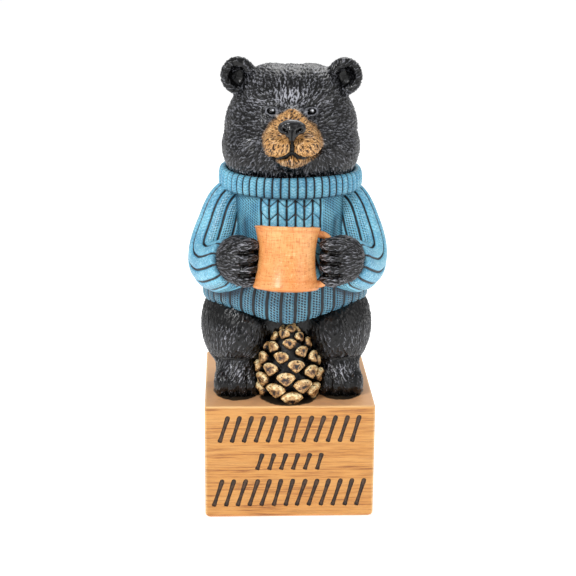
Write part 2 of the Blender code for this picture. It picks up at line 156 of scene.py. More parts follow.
def wire(tree, value, socket):
    if isinstance(value, bpy.types.NodeSocket):
        tree.links.new(value, socket)
    else:
        socket.default_value = value


def node(tree, kind, inputs=None, **settings):
    made = tree.nodes.new(kind)
    for key, value in settings.items():
        setattr(made, key, value)
    for key, value in (inputs or {}).items():
        wire(tree, value, made.inputs[key])
    return made


def maths(tree, operation, *values):
    made = node(tree, "ShaderNodeMath", dict(enumerate(values)), operation=operation)
    return made.outputs[0]


def plus(tree, first, second):
    return maths(tree, "ADD", first, second)


def minus(tree, first, second):
    return maths(tree, "SUBTRACT", first, second)


def times(tree, first, second):
    return maths(tree, "MULTIPLY", first, second)


def ramp(tree, value, low, high, to_low=0.0, to_high=1.0):
    """A smooth slope between two values."""
    made = node(tree, "ShaderNodeMapRange", {0: value, 1: low, 2: high, 3: to_low, 4: to_high},
                interpolation_type="SMOOTHSTEP")
    return made.outputs[0]


def blend(tree, share, first, second):
    made = node(tree, "ShaderNodeMix", {0: share, 6: first, 7: second}, data_type="RGBA")
    return made.outputs[2]


def carried(tree, name):
    return node(tree, "ShaderNodeAttribute", attribute_name=name).outputs["Fac"]


def facing_up(tree):
    """1 where the surface looks up, 0 on a wall and -1 underneath."""
    normal = node(tree, "ShaderNodeTexCoord").outputs["Normal"]
    return node(tree, "ShaderNodeSeparateXYZ", {0: normal}).outputs[2]


def cloud(tree, per_metre, detail=3.0, where=None, stretch=None):
    """Soft noise over the piece, finer the more there is per metre."""
    where = where or node(tree, "ShaderNodeTexCoord").outputs["Object"]
    if stretch:
        where = node(tree, "ShaderNodeMapping", {0: where, 3: stretch}).outputs[0]
    made = node(tree, "ShaderNodeTexNoise", {"Vector": where, "Scale": per_metre,
                                             "Detail": detail, "Roughness": 0.6})
    return made.outputs[0]


def finish_with(material, colour, heights, roughness, coat=0.0, gloss=0.5):
    """Colour and bumps into the shader. heights are (value, depth in metres) pairs."""
    tree = material.node_tree
    shader = tree.nodes["Principled BSDF"]
    wire(tree, colour, shader.inputs["Base Color"])
    wire(tree, roughness, shader.inputs["Roughness"])
    shader.inputs["Specular IOR Level"].default_value = gloss
    shader.inputs["Coat Weight"].default_value = coat
    shader.inputs["Coat Roughness"].default_value = 0.22
    normal = None
    for value, depth in heights:
        step = {"Height": value, "Distance": depth, "Strength": 1.0}
        if normal:
            step["Normal"] = normal
        normal = node(tree, "ShaderNodeBump", step).outputs[0]
    if normal:
        wire(tree, normal, shader.inputs["Normal"])


def new_material(name):
    material = bpy.data.materials.new(name)
    material.use_nodes = True
    return material, material.node_tree


print("a sky blue is", [round(c, 3) for c in srgb(95, 175, 215)])

# %% [markdown]
# ## Black fur paint
# The fur is black with charcoal grey on the ridges, partly a dry brush and partly painted sheen,
# sparse painted glints, and a grey dry brush that is strongest between the brows. The muzzle is the
# same carving in ochre with umber hollows. One material does both: the attribute `tan` says where the
# ochre is, `relief` how high the carving stands, and a third how much grey the brush left, together
# with painted highlights on the top and left of the head, the feet, the haunches and the fingers.
# Where relief is lowered for painted shade, in the ear hollows, between the legs and under the hem,
# the fur is painted darker.

# %% Fur material
fur_paint, tree = new_material("fur_paint")
relief = carried(tree, "relief")
worn = cloud(tree, 260, 4)
# Charcoal grey on the ridges: partly a dry brush and partly painted sheen.
ridge = ramp(tree, plus(tree, relief, times(tree, worn, 0.3)), 0.55, 0.86)
black_coat = blend(tree, ridge, srgb(2, 2, 3), srgb(94, 95, 101))
# Painted glints: sparse pale highlights on the ridges, where the gloss would catch the light.
glint_spots = ramp(tree, cloud(tree, 330, 2), 0.54, 0.64)
glints = times(tree, ramp(tree, relief, 0.55, 0.8), glint_spots)
black_coat = blend(tree, times(tree, glints, 0.5), black_coat, srgb(190, 192, 202))
# A grey dry brush on the ridges, together with painted highlights on the top and left of the head, the
# feet, the haunches and the fingers.
frost = carried(tree, "frost")
brushed_and_highlit = ramp(tree, maths(tree, "MULTIPLY_ADD", frost, 0.28, relief), 0.5, 0.85)
brushed_and_highlit = times(tree, brushed_and_highlit, maths(tree, "MINIMUM", frost, 1.0))
black_coat = blend(tree, brushed_and_highlit, black_coat, srgb(178, 179, 188))
tan_coat = blend(tree, ramp(tree, relief, 0.12, 0.55), srgb(46, 27, 14), srgb(196, 146, 90))
tan_coat = blend(tree, ramp(tree, plus(tree, relief, worn), 1.0, 1.35), tan_coat, srgb(238, 202, 148))
coat = blend(tree, carried(tree, "tan"), black_coat, tan_coat)
# Near-black painted lines in the mouth, the toe and finger gaps and the ankle creases; at the mouth
# they are also painted shade under the overhanging lobes.
coat = blend(tree, ramp(tree, carried(tree, "line"), 1.3, 0.7), coat, srgb(9, 7, 6))
varnish = ramp(tree, worn, 0.3, 0.7, 0.2, 0.4)
finish_with(fur_paint, coat, [(cloud(tree, 900, 2), 0.00008)], varnish, gloss=0.36)
print(fur_paint.name, len(tree.nodes), "nodes")

# %% [markdown]
# ## Clay skins
# Fur figures start as lumps of clay pressed together. Subdivided boxes or a lathe would need
# seams where the lumps meet. A voxel remesh fuses any pile of overlapping ellipsoids into one
# closed skin, smoothing melts the joints as a thumb would, and one subdivision gives vertices
# less than a millimetre apart, close enough to carve single strokes into.


# %% From lumps to skin
def link(name, mesh):
    piece = bpy.data.objects.new(name, mesh)
    bpy.context.scene.collection.objects.link(piece)
    return piece


def made_solid(piece, name):
    """The object's mesh with its modifiers applied, as a new object in its place."""
    graph = bpy.context.evaluated_depsgraph_get()
    mesh = bpy.data.meshes.new_from_object(piece.evaluated_get(graph)).copy()
    mesh.name = name
    bpy.data.objects.remove(piece, do_unlink=True)
    return link(name, mesh)


def ellipsoids(name, lumps):
    """One object of loose ellipsoids, each a (centre, radii) pair in millimetres."""
    bm = bmesh.new()
    for centre, radii in lumps:
        where = Matrix.Translation((np.array(centre) + SEAT) * MM)
        size = Matrix.Diagonal((*(r * MM for r in radii), 1))
        bmesh.ops.create_icosphere(bm, subdivisions=4, radius=1, matrix=where @ size)
    mesh = bpy.data.meshes.new(name)
    bm.to_mesh(mesh)
    bm.free()
    return link(name, mesh)


def clay_skin(name, lumps, voxel, melt):
    """The lumps fused to one skin, `voxel` millimetres fine and rubbed smooth `melt` times."""
    piece = ellipsoids(name, lumps)
    skin = piece.modifiers.new("skin", "REMESH")
    skin.mode = "VOXEL"
    skin.voxel_size = voxel * MM
    thumb = piece.modifiers.new("melt", "SMOOTH")
    thumb.factor = 0.5
    thumb.iterations = melt
    finer = piece.modifiers.new("finer", "SUBSURF")
    finer.levels = finer.render_levels = 1
    return made_solid(piece, name)


def points_of(piece):
    """The piece's vertices and normals, in millimetres from the bear's seat."""
    count = len(piece.data.vertices)
    points, normals = np.empty(count * 3, np.float32), np.empty(count * 3, np.float32)
    piece.data.vertices.foreach_get("co", points)
    piece.data.vertex_normals.foreach_get("vector", normals)
    return points.reshape(-1, 3) / MM - SEAT, normals.reshape(-1, 3).astype(float)


def move_points(piece, points):
    moved = ((points + SEAT) * MM).astype(np.float32)
    piece.data.vertices.foreach_set("co", moved.ravel())
    piece.data.update()


def carry(piece, **values):
    """Stores numbers on the vertices, for the shader to read. A lone number goes on all of them."""
    count = len(piece.data.vertices)
    for name, numbers in values.items():
        layer = piece.data.attributes.new(name, "FLOAT", "POINT")
        layer.data.foreach_set("value", np.full(count, numbers, np.float32))


def smooth_shaded(piece, material):
    piece.data.polygons.foreach_set("use_smooth", [True] * len(piece.data.polygons))
    piece.data.materials.clear()
    piece.data.materials.append(material)
    return piece


def joined(main, other):
    """Makes the other object's mesh a part of the main one."""
    with bpy.context.temp_override(active_object=main, selected_editable_objects=[main, other]):
        bpy.ops.object.join()


def outward_faces(mesh):
    """Turns every face of a closed mesh to look outwards."""
    bm = bmesh.new()
    bm.from_mesh(mesh)
    bmesh.ops.recalc_face_normals(bm, faces=bm.faces)
    bm.to_mesh(mesh)
    bm.free()


print("skins, combs and paint values work on vertices in millimetres")

# %% [markdown]
# ## Combing
# The sculptor drags a pointed tool through the clay, thousands of times, and each drag leaves a
# lock: low at its root, high at its tip. Real hair curves would be far too heavy for a casting and
# would look soft. Here each lock is a small leaning ridge, laid along a flow that we choose, and
# where locks cross the higher one wins. The result moves real vertices, so it survives as a mesh.


# %% The comb
def unit(vectors):
    return vectors / (np.linalg.norm(vectors, axis=-1, keepdims=True) + 1e-9)


def comb(points, normals, flow, apart, length, width, seed, waver=0.3):
    """Height 0 to 1 of overlapping locks that lie along the flow. There is one in each small cube
    of space, `apart` millimetres wide. The three sizes may differ from point to point."""
    chance = np.random.default_rng(seed)
    tree = KDTree(len(points))
    for index, point in enumerate(points):
        tree.insert(point, index)
    tree.balance()
    apart = np.broadcast_to(apart, len(points))
    order = chance.permutation(len(points))
    cubes = np.column_stack([np.floor(points / apart[:, None]), apart])[order]
    roots = order[np.unique(cubes, axis=0, return_index=True)[1]]
    length = np.broadcast_to(length, len(points))[roots] * chance.uniform(0.75, 1.25, len(roots))
    width = np.broadcast_to(width, len(points))[roots] * chance.uniform(0.8, 1.3, len(roots))
    owner, touched = [], []
    for lock, root in enumerate(roots):
        near = [found[1] for found in tree.find_range(points[root], length[lock] / 2)]
        owner += [lock] * len(near)
        touched += near
    owner, touched = np.array(owner), np.array(touched)
    up = normals[roots]
    along = unit(flow[roots] - up * (flow[roots] * up).sum(1, keepdims=True))
    across = np.cross(up, along)
    turn = chance.normal(0, waver, len(roots))[:, None]
    along, across = (along * np.cos(turn) + across * np.sin(turn),
                     across * np.cos(turn) - along * np.sin(turn))
    offset = points[touched] - points[roots][owner]
    u = (offset * along[owner]).sum(1) / (length[owner] / 2)
    v = (offset * across[owner]).sum(1) / (width[owner] / 2)
    taper = np.clip(1.15 - 0.75 * np.maximum(u, 0), 0.2, 1)
    ridge = np.clip(1 - np.abs(v / taper), 0, 1) ** 0.8
    rise = (0.35 + 0.65 * (u + 1) / 2) * smooth_step(1.0, 0.8, u) * smooth_step(-1.0, -0.6, u)
    height = ridge * rise * chance.uniform(0.65, 1.0, len(roots))[owner]
    relief = np.zeros(len(points))
    np.maximum.at(relief, touched, height)
    return relief


FAR = 9    # millimetres from a painted line, beyond which the paint no longer depends on it


def near_lines(points, lines, front):
    """How far each point is from the nearest of these lines, seen from the front. A line is rows
    of (across, up), and points behind `front` count as far away."""
    flat = points[:, (0, 2)]
    away = np.full(len(points), 99.0)
    for line in lines:
        stops = np.array(line, float)
        for a, b in zip(stops[:-1], stops[1:]):
            share = np.clip((flat - a) @ (b - a) / ((b - a) @ (b - a)), 0, 1)
            away = np.minimum(away, np.linalg.norm(flat - a - share[:, None] * (b - a), axis=1))
    away[points[:, 1] > front] = 99
    return away


# %% [markdown]
# ## The head
# The head is a broad, low dome with full cheeks, a short muzzle of two lobes over a small chin,
# low brows and two cupped ears. The ears are rings of beads round a thin dish, so that they fuse
# into a thick rim. The fur fans out from the nose, and turns down towards the collar.

# %% Head lumps
HEAD_ASIDE, HEAD_TURN = 1.4, math.radians(-2)
head_lumps = [
    ((0, 3, 178), (44.6, 40, 39)), ((0, -1, 166), (46.3, 43, 34)),
    ((0, 3, 201), (22, 30, 18.6)), ((0, -34, 189), (11.5, 16, 10)), ((0, -37, 177), (18.3, 18.5, 15)),
    ((0, -43, 164.5), (11.5, 12, 6)), ((0, -56, 187), (7, 4.5, 4.5)),
]
for side in (-1, 1):
    head_lumps += [
        ((side * 12.5, 3, 201), (21, 30, 19)),
        ((side * 21, -11, 165), (24, 27.5, 22)), ((side * 13.5, -21, 202.5), (13, 8.5, 6)),
        ((side * 8.7, -48.3, 174.4), (10.6, 10.5, 8.6)), ((side * 35.3, 8.0, 211.8), (10.5, 4.4, 11.5)),
    ]
    for bead in range(24):
        turn = math.radians(-60 + 13 * bead)
        ring = (side * (35.3 + 8.3 * math.cos(turn)), 2, 211.9 + 9.1 * math.sin(turn))
        head_lumps.append((ring, (3.7, 4.3, 3.7)))
head = clay_skin("head", head_lumps, 1.34, 9)
print("head", len(head.data.vertices), "vertices")

# %% [markdown]
# The eyes sit in shallow sockets under the brows. A ray from the front finds the skin at each eye,
# so the eyeballs, the lids round them and the paint all agree on one place.

# %% Eyes and lids
EYE_RADIUS = 2.45
points, normals = points_of(head)
skin_tree = BVHTree.FromPolygons(points.tolist(), [tuple(p.vertices) for p in head.data.polygons])
eyes = []
for side in (-1, 1):
    hit = skin_tree.ray_cast(Vector((side * 12.7, -90, 193.6)), Vector((0, 1, 0)))[0]
    eyes.append(np.array((hit.x, hit.y + 1.5, hit.z)))
lid_lift, lids = np.zeros(len(points)), np.zeros(len(points))
for eye in eyes:
    reach = (points - eye) * (0.78, 1, 1.22)
    away = np.linalg.norm(reach[:, (0, 2)], axis=1)
    near = smooth_step(14, 8, np.abs(points[:, 1] - eye[1]))
    rim = near * hump(away - 2.85, 0.6)
    lids = np.maximum(lids, rim)
    socket_depth = 0.75 * hump(away - 4.3, 0.8) + 1.5 * smooth_step(2.6, 1.8, away)
    lid_lift += 1.1 * rim - near * socket_depth
print("eyes at", [eye.round(1).tolist() for eye in eyes])

# %% Muzzle, mouth, dry brush and painted highlights
MUZZLE = ((160.5, 0, 3), (162, -5, 8), (164, -10, 14), (166.8, -12.2, 16.6), (169.6, -16.2, 18.8),
          (174, -17.3, 20.2), (178, -18.4, 19), (181, -17.2, 17.8), (185.7, -14.4, 15),
          (189, -11.2, 10.6), (191.2, -9.4, 9), (193, -8, 6.8), (195, -5, 4.8), (197, -1.6, 1.8))
MOUTH = [
    [(0.2, 180), (0.3, 174), (0.1, 170)],
    [(0.1, 170), (-3.4, 167.6), (-7, 166.3), (-10, 165.6), (-12.2, 166.3)],
    [(0.1, 170), (4.2, 167.4), (8.6, 166.1), (12.2, 166), (16.4, 167.6), (19.6, 170.4)],
]
x, y, z = points.T
heights, left, right = np.array(MUZZLE).T
inside = np.minimum(x - np.interp(z, heights, left, 9, 9), np.interp(z, heights, right, -9, -9) - x)
muzzle = smooth_step(-1.6, 1.6, inside) * (y < -24)
muzzle *= 1 - 0.45 * smooth_step(166.5, 163, z)
mouth_away = near_lines(points, MOUTH, front=-35)
# The ear hollows are pressed in, and their fur is painted darker there: painted shade.
hollow = np.exp(-(((np.abs(x) - 36) / 5.4) ** 2 + ((z - 211.5) / 6.2) ** 2) ** 2)
hollow *= smooth_step(9, 7, y)
between_brows = 0.72 * hump(x + 1, 12) * hump(z - 202.5, 6)
on_brows = 0.3 * hump(np.abs(x) - 19, 7) * hump(z - 199, 3)
# Painted light: the top and the left side of the head are brushed paler, where the light falls.
crown_highlight = 0.2 * smooth_step(185, 212, z) * smooth_step(30, -30, x) * (y < -15)
frost = between_brows + on_brows + crown_highlight + 0.16
frost = frost * (y < 0) * (1 - 0.6 * hollow) * (1 - lids)
print("ochre on", int((muzzle > 0.5).sum()), "vertices")

# %% Comb the head
nose_tip = np.array((0, -60, 188.0))
flow = unit(points - nose_tip)
flow[:, 2] -= 0.9 * smooth_step(168, 150, z) + 0.7 * smooth_step(5, 30, y)
from_eye = np.min([np.linalg.norm(points - eye, axis=1) for eye in eyes], axis=0)
fine = np.where((muzzle > 0.5) | (from_eye < 8), 0.7, 1.0)
locks = comb(points, normals, flow, 2.0 * fine, 5.0 * fine, 1.6 * fine, 11)
calm = smooth_step(2.7, 4.6, from_eye)
cut = hump(mouth_away, 1.4)
depth = 1.2 * (1 - 0.35 * muzzle) * (1 - 0.4 * hollow) * calm
points = points + normals * ((locks - 0.4) * depth + lid_lift - 2.6 * cut - 0.9 * hollow)[:, None]
move_points(head, points)
carry(head, relief=locks * calm * (1 - 0.25 * hollow) + 0.78 * lids, tan=muzzle, frost=frost,
      line=np.minimum(mouth_away, FAR))
smooth_shaded(head, fur_paint)
print("head", len(head.data.polygons) * 2, "triangles")

# %% [markdown]
# ## Nose and eyes
# Both are gloss black and stand on the painted fur, so they are pieces of their own. The nose is
# clay again: a bar over a stem, with two nostrils and a groove pressed in.

# %% Nose and eyes
gloss_black, tree = new_material("gloss_black")
sheen = cloud(tree, 500, 2)
black = blend(tree, ramp(tree, sheen, 0.4, 0.75), srgb(4, 4, 5), srgb(24, 24, 27))
# Painted reflection: the upward-facing parts of the nose and eyes are painted grey, as the bright
# surround would show in the gloss.
black = blend(tree, ramp(tree, facing_up(tree), 0.5, 0.95, 0, 0.6), black, srgb(104, 105, 110))
# Painted shade: the pressed nostrils and the groove are painted blacker still.
black = blend(tree, ramp(tree, carried(tree, "pit"), 0.3, 1.2), black, srgb(1, 1, 1))
# Painted reflection: a pale catch-light dot on each eye.
black = blend(tree, carried(tree, "spark"), black, srgb(214, 216, 222))
finish_with(gloss_black, black, [(sheen, 0.00012)], 0.16)
nose_lumps = [((0, -57.8, 189.9), (6.6, 4.2, 2.8)), ((0, -59.4, 185.2), (4.8, 3.9, 4.8)),
              ((0, -59.0, 181.4), (2.4, 3.0, 3.0)),
              ((-5.1, -57.6, 187.1), (3.8, 4.6, 4.0)), ((5.1, -57.6, 187.1), (3.8, 4.6, 4.0))]
nose = clay_skin("nose", nose_lumps, 0.42, 14)
points, normals = points_of(nose)
press = 0.9 * hump(points[:, 0], 0.6) * smooth_step(188.5, 186.5, points[:, 2])
for side in (-1, 1):
    nostril = points - (side * 5.0, -62.5, 186.4)
    turned = nostril[:, 0] * side * 0.8 + nostril[:, 2] * 0.6
    upright = nostril[:, 2] * 0.8 - nostril[:, 0] * side * 0.6
    press += 3.0 * hump(turned, 2.1) * hump(upright, 1.2)
press *= points[:, 1] < -57
carry(nose, pit=press)
move_points(nose, points - normals * press[:, None])
smooth_shaded(nose, gloss_black)

eyeballs = ellipsoids("eyes", [(eye, (EYE_RADIUS, EYE_RADIUS, EYE_RADIUS * 0.85)) for eye in eyes])
smooth_shaded(eyeballs, gloss_black)
points = points_of(eyeballs)[0]
# Painted reflection: the catch-light sits on the front of each eye, a little up and to the side.
sparks = [np.linalg.norm(points - eye - (0.7, -EYE_RADIUS * 0.85, 0.9), axis=1) for eye in eyes]
carry(eyeballs, spark=smooth_step(1.0, 0.5, np.min(sparks, axis=0)))
for piece in (head, nose, eyeballs):
    piece.data.transform(Matrix.Translation((HEAD_ASIDE * MM, 0, 0))
                         @ Matrix.Rotation(HEAD_TURN, 4, "Z"))
print("nose", len(nose.data.polygons), "faces; eyes", len(eyeballs.data.polygons))

# %% [markdown]
# ## Haunches, feet and paws
# The same clay and the same comb. Fur runs down the haunches and forwards over the feet. Toes and
# fingers are parted by grooves that are pressed in after combing, and darkened with paint.

# %% Lower body
lower_lumps = [((0, 8, 36), (46, 38, 38)), ((0, -6, 50), (36, 29, 26))]
toe_gaps, ankles = [], []
for side in (-1, 1):
    lower_lumps += [((side * 31.5 - 0.8, -2, 43), (27.3, 41, 34)),
                    ((side * 34, -14, 17), (15.5, 26, 14)), ((side * 35, -22, 10), (15.5, 21, 12.5))]
    for toe in (-10.2, -3.4, 3.4, 10.2):
        lower_lumps.append(((side * (35 + toe), -35.5 + abs(toe) * 0.3, 9), (5.6, 9, 10)))
    for gap in (-6.8, 0, 6.8):
        toe_gaps.append([(side * (35 + gap), 16.5), (side * (35 + gap * 1.06), 0)])
    ankles.append([(side * 19, 23), (side * 27, 26.5), (side * 41, 26.5), (side * 50, 23)])
lower_body = clay_skin("lower_body", lower_lumps, 1.44, 8)
points, normals = points_of(lower_body)
x, y, z = points.T
flow = np.stack([0.35 * x, np.full(len(x), -12.0), np.full(len(x), -30.0)], 1)
flow[y > 10] = (0, 6, -30)
toes_away = near_lines(points, toe_gaps, front=-36)
on_foot = smooth_step(24, 18, z) * (y < -8)
ankle_away = near_lines(points, ankles, front=-22)
locks = comb(points, normals, flow, 2.2, 5.8 - 1.2 * on_foot, 1.75 - 0.2 * on_foot, 12)
depth = 1.2 - 0.4 * on_foot
press = hump(toes_away, 0.8) + 2.0 * hump(ankle_away, 1.5)
points = points + normals * ((locks - 0.4) * depth - press)[:, None]
points[:, 2] = np.maximum(points[:, 2], 0.2)
move_points(lower_body, points)
x, y, z = points.T
sides = np.abs(x)
# Painted shadow: the fur is darker between the legs and under the hem.
shadow = smooth_step(24, 12, sides) + smooth_step(52, 64, z + 0.1 * sides)
# Painted glints on the insteps and the haunches, carried with the dry brush.
foot_glint = 0.85 * hump(sides - 35, 9) * hump(z - 18, 6) * (y < -20)
haunch_glint = 0.45 * hump(sides - 42, 8) * hump(z - 42, 9) * (y < -15)
groove_away = np.minimum(toes_away * 1.6, ankle_away * 1.1)
carry(lower_body, relief=locks * (0.9 - 0.5 * np.minimum(shadow, 1)), tan=0,
      frost=0.07 + foot_glint + haunch_glint, line=np.minimum(groove_away, FAR))
smooth_shaded(lower_body, fur_paint)
print("lower body", len(lower_body.data.polygons) * 2, "triangles")

# %% Mug sizes and paws
MUG_FOOT = np.array((-3.9, -64.0, 85.0))
MUG_RIM, MUG_WAIST, MUG_BASE, MUG_HEIGHT = 21.3, 18.3, 21.4, 39.6
MUG_LEAN, MUG_TIP = math.radians(13), math.radians(1.9)
PAW_REACH = {-1: (9.2, 4.4), 1: (15.6, 9.0)}
paw_lumps, finger_gaps = [], []
for side, (palm, fingers) in PAW_REACH.items():
    hold = MUG_FOOT + (side * MUG_RIM, 0, MUG_HEIGHT * 0.406)
    paw_lumps.append((hold + (side * palm, 10.3, 0), (14.8, 13, 16)))
    for finger in (11.5, 4.0, -3.5, -11):
        paw_lumps.append((hold + (side * fingers, 2.8, finger), (9, 6.5, 4.9)))
    for gap in (7.8, 0.3, -7.2):
        finger_gaps.append([(hold[0] + side * (fingers - 9), hold[2] + gap),
                            (hold[0] + side * (fingers + 3.5), hold[2] + gap - 0.4)])
paws = clay_skin("paws", paw_lumps, 0.82, 8)
points, normals = points_of(paws)
flow = np.stack([-points[:, 0], 0 * points[:, 0], 3 * np.sin(points[:, 2] * 0.4)], 1)
gaps_away = near_lines(points, finger_gaps, front=-58)
locks = comb(points, normals, flow, 2.0, 5.2, 1.6, 13, waver=0.25)
lift = (locks - 0.4) * 1.1 - 2.1 * hump(gaps_away, 1.2)
points = points + normals * lift[:, None]
move_points(paws, points)
# Painted glints on the fingers, carried with the dry brush.
glint = 0.35 * hump(np.abs(points[:, 0] - MUG_FOOT[0]) - 27, 6) * (points[:, 1] < -62)
carry(paws, relief=locks, tan=0, frost=0.16 + glint, line=np.minimum(gaps_away, FAR))
smooth_shaded(paws, fur_paint)
print("paws", len(paws.data.polygons) * 2, "triangles")

# %% [markdown]
# ## Sweater paint
# Sky blue, with painted shade under the arms, in the folds, inside the collar, at its foot, under the
# chin and at the cuffs, and darker towards the hem, partly a darker wash and partly painted shade. A
# pale brush lies on the crowns of the ribs, and near-black lines in the grooves. The knit's small
# marks are painted dots and slanting ticks. They repeat with the ribs, so they come from a UV map
# that counts ribs: one unit is one rib wide.

# %% Sweater material
sweater_paint, tree = new_material("sweater_paint")
knit = node(tree, "ShaderNodeUVMap", uv_map="knit").outputs[0]
knit_parts = node(tree, "ShaderNodeSeparateXYZ", {0: knit})
across, along = knit_parts.outputs[0], knit_parts.outputs[1]
wobble = cloud(tree, 420, 2)
lean = times(tree, across, 0.5)
dots_seen = []
for value, rate in ((across, 4.0), (plus(tree, along, lean), 3.8)):
    cell = maths(tree, "FRACT", times(tree, value, rate))
    dots_seen.append(maths(tree, "POWER", minus(tree, cell, 0.5), 2.0))
dot_away = plus(tree, maths(tree, "SQRT", plus(tree, *dots_seen)), times(tree, wobble, 0.16))
dot = times(tree, ramp(tree, dot_away, 0.48, 0.37), carried(tree, "dots"))
half_ribs = maths(tree, "FRACT", times(tree, across, 0.5))
zigzag = maths(tree, "ABSOLUTE", minus(tree, half_ribs, 0.5))
slant = maths(tree, "FRACT", plus(tree, times(tree, along, 2.6), times(tree, zigzag, 3.2)))
tick_away = plus(tree, maths(tree, "ABSOLUTE", minus(tree, slant, 0.5)), times(tree, wobble, 0.14))
tick = times(tree, ramp(tree, tick_away, 0.2, 0.1), carried(tree, "ticks"))
patch = cloud(tree, 70, 3)
blue = blend(tree, ramp(tree, patch, 0.35, 0.65), srgb(84, 158, 192), srgb(116, 190, 216))
dry_brush = times(tree, ramp(tree, carried(tree, "relief"), 1.0, 1.35),
                  ramp(tree, cloud(tree, 800, 3), 0.46, 0.6, 0, 0.6))
blue = blend(tree, dry_brush, blue, srgb(170, 222, 240))
# Painted shade under the arms, in the folds, inside the collar, under the chin and at the cuffs;
# towards the hem partly a darker wash and partly painted shade.
blue = blend(tree, carried(tree, "shade"), blue, srgb(34, 70, 92))
blue = blend(tree, times(tree, tick, 0.85), blue, srgb(14, 46, 68))
blue = blend(tree, dot, blue, srgb(5, 20, 34))
stroke = plus(tree, carried(tree, "line"), times(tree, wobble, 0.5))
blue = blend(tree, ramp(tree, stroke, 1.25, 0.85), blue, srgb(6, 11, 20))
unmarked = minus(tree, 1.0, maths(tree, "MAXIMUM", dot, tick))
finish_with(sweater_paint, blue, [(unmarked, 0.0003), (cloud(tree, 1300, 2), 0.00012)], 0.5, 0.12)
print(sweater_paint.name, len(tree.nodes), "nodes")

# %% [markdown]
# ## A woven grid
# Everything knitted is a tube: rows of points round it, row after row along it. Each row has the
# same number of points, so one function turns rows into a closed skin with a UV map, for the
# torso, the collar and both sleeves. Ribs are then a matter of moving points by their turn.


# %% Tube from rows
def tube(name, rows, ribs_round, ribs_along):
    """A closed skin through rows of points (rows, points, 3). The UV map counts ribs."""
    row_count, count = rows.shape[:2]
    points = np.concatenate([rows.reshape(-1, 3), rows[:1].mean(1), rows[-1:].mean(1)])
    row, column = np.meshgrid(np.arange(row_count - 1), np.arange(count), indexing="ij")
    following = (column + 1) % count
    faces = np.stack([row * count + column, row * count + following,
                      (row + 1) * count + following, (row + 1) * count + column], -1)
    faces = [tuple(face) for face in faces.reshape(-1, 4).tolist()]
    last, foot, top = (row_count - 1) * count, row_count * count, row_count * count + 1
    for i in range(count):
        j = (i + 1) % count
        faces += [(foot, j, i), (top, last + i, last + j)]
    mesh = bpy.data.meshes.new(name)
    mesh.from_pydata(((points + SEAT) * MM).tolist(), [], faces)
    piece = link(name, mesh)
    corner = np.empty(len(mesh.loops), np.int32)
    mesh.loops.foreach_get("vertex_index", corner)
    across = np.append(np.tile(np.arange(count) / count * ribs_round, row_count), (0, 0))
    along = np.append(np.repeat(ribs_along, count), (ribs_along[0], ribs_along[-1]))
    uv = np.stack([across[corner], along[corner]], 1)
    quads = (row_count - 1) * count
    wrapped = uv[:quads * 4].reshape(row_count - 1, count, 4, 2)
    wrapped[:, -1, 1:3, 0] = ribs_round
    mesh.uv_layers.new(name="knit").data.foreach_set("uv", uv.astype(np.float32).ravel())
    outward_faces(mesh)
    return piece


def with_ends(values, shape=None):
    """Numbers for each point of the rows, and for the two points that close the ends."""
    values = np.broadcast_to(values, shape or np.shape(values))
    return np.append(values.ravel(), (values[0].mean(), values[-1].mean()))


def across_rib(turns, ribs, shift=0.0):
    """Where a turn lies across its rib: 0 on the crown, and half a rib each way to the grooves."""
    return (turns / (2 * math.pi) * ribs + shift + 0.5) % 1 - 0.5


def rib_shape(local, pitch, crown, cut, cut_width):
    """(lift, distance to the groove) of round ribs with a groove between them, in millimetres."""
    away = (0.5 - np.abs(local)) * pitch
    return crown * (1 - (2 * local) ** 2) - cut * hump(away, cut_width), away


def spun(outline, count):
    """Rows of points for an outline of (radius, height) pairs that is turned round Z."""
    turns = full_turn(count)
    radius, height = outline[:, :1], outline[:, 1:]
    return np.stack([radius * np.sin(turns), radius * np.cos(turns), height + 0 * turns], -1)


print("a rib 6 mm wide is", rib_shape(0.0, 6.0, 0.35, 1.2, 0.85)[0].round(2), "mm high at its crown")


# %% [markdown]
# ## Torso of the sweater
# In front, seven ribs run down the chest with slanting marks between them that lean left and
# right by turns, as a cabled pattern would. Below the mug and all round the back every rib is cut
# to the hem, which dips in front. Painted shade gathers under the arms and in the folds beside the
# chest, and the hem is darker, partly a darker wash and partly painted shade.

# %% Torso
TORSO_RIBS, RIB_WIDE = 44, 6.6
TORSO = ((60.5, 54.6, 48.5, 1), (65, 56.4, 50.5, 1), (77, 55.4, 50.5, 0), (92, 49, 49, -1),
         (106, 42.5, 47.5, -1), (120, 40.5, 45.5, -1), (133, 41, 43.5, 0), (143, 39, 40, 0))
SLEEVE = ((29.5, -4, 136.2, 12), (39.6, -8, 127.8, 14.9), (44.8, -12, 112.5, 17),
          (48, -15.5, 100, 17.9), (48.1, -22, 92.5, 17.9), (45.3, -32, 91, 17.2),
          (41, -41, 94, 16.7), (37.5, -46.5, 97, 16.6), (36, -49.5, 98.5, 15.8))


def sleeve_reach(points):
    """How far points are outside the nearer sleeve. It is negative inside."""
    axis = through(SLEEVE, np.linspace(0, 1, 60))
    mirrored = np.abs(points[:, 0])[:, None]
    gap = np.stack([mirrored - axis[:, 0], points[:, 1:2] - axis[:, 1], points[:, 2:3] - axis[:, 2]])
    return (np.sqrt((gap ** 2).sum(0)) - axis[:, 3]).min(1)


print("the torso narrows from", TORSO[1][1], "to", TORSO[-1][1], "mm half its width")


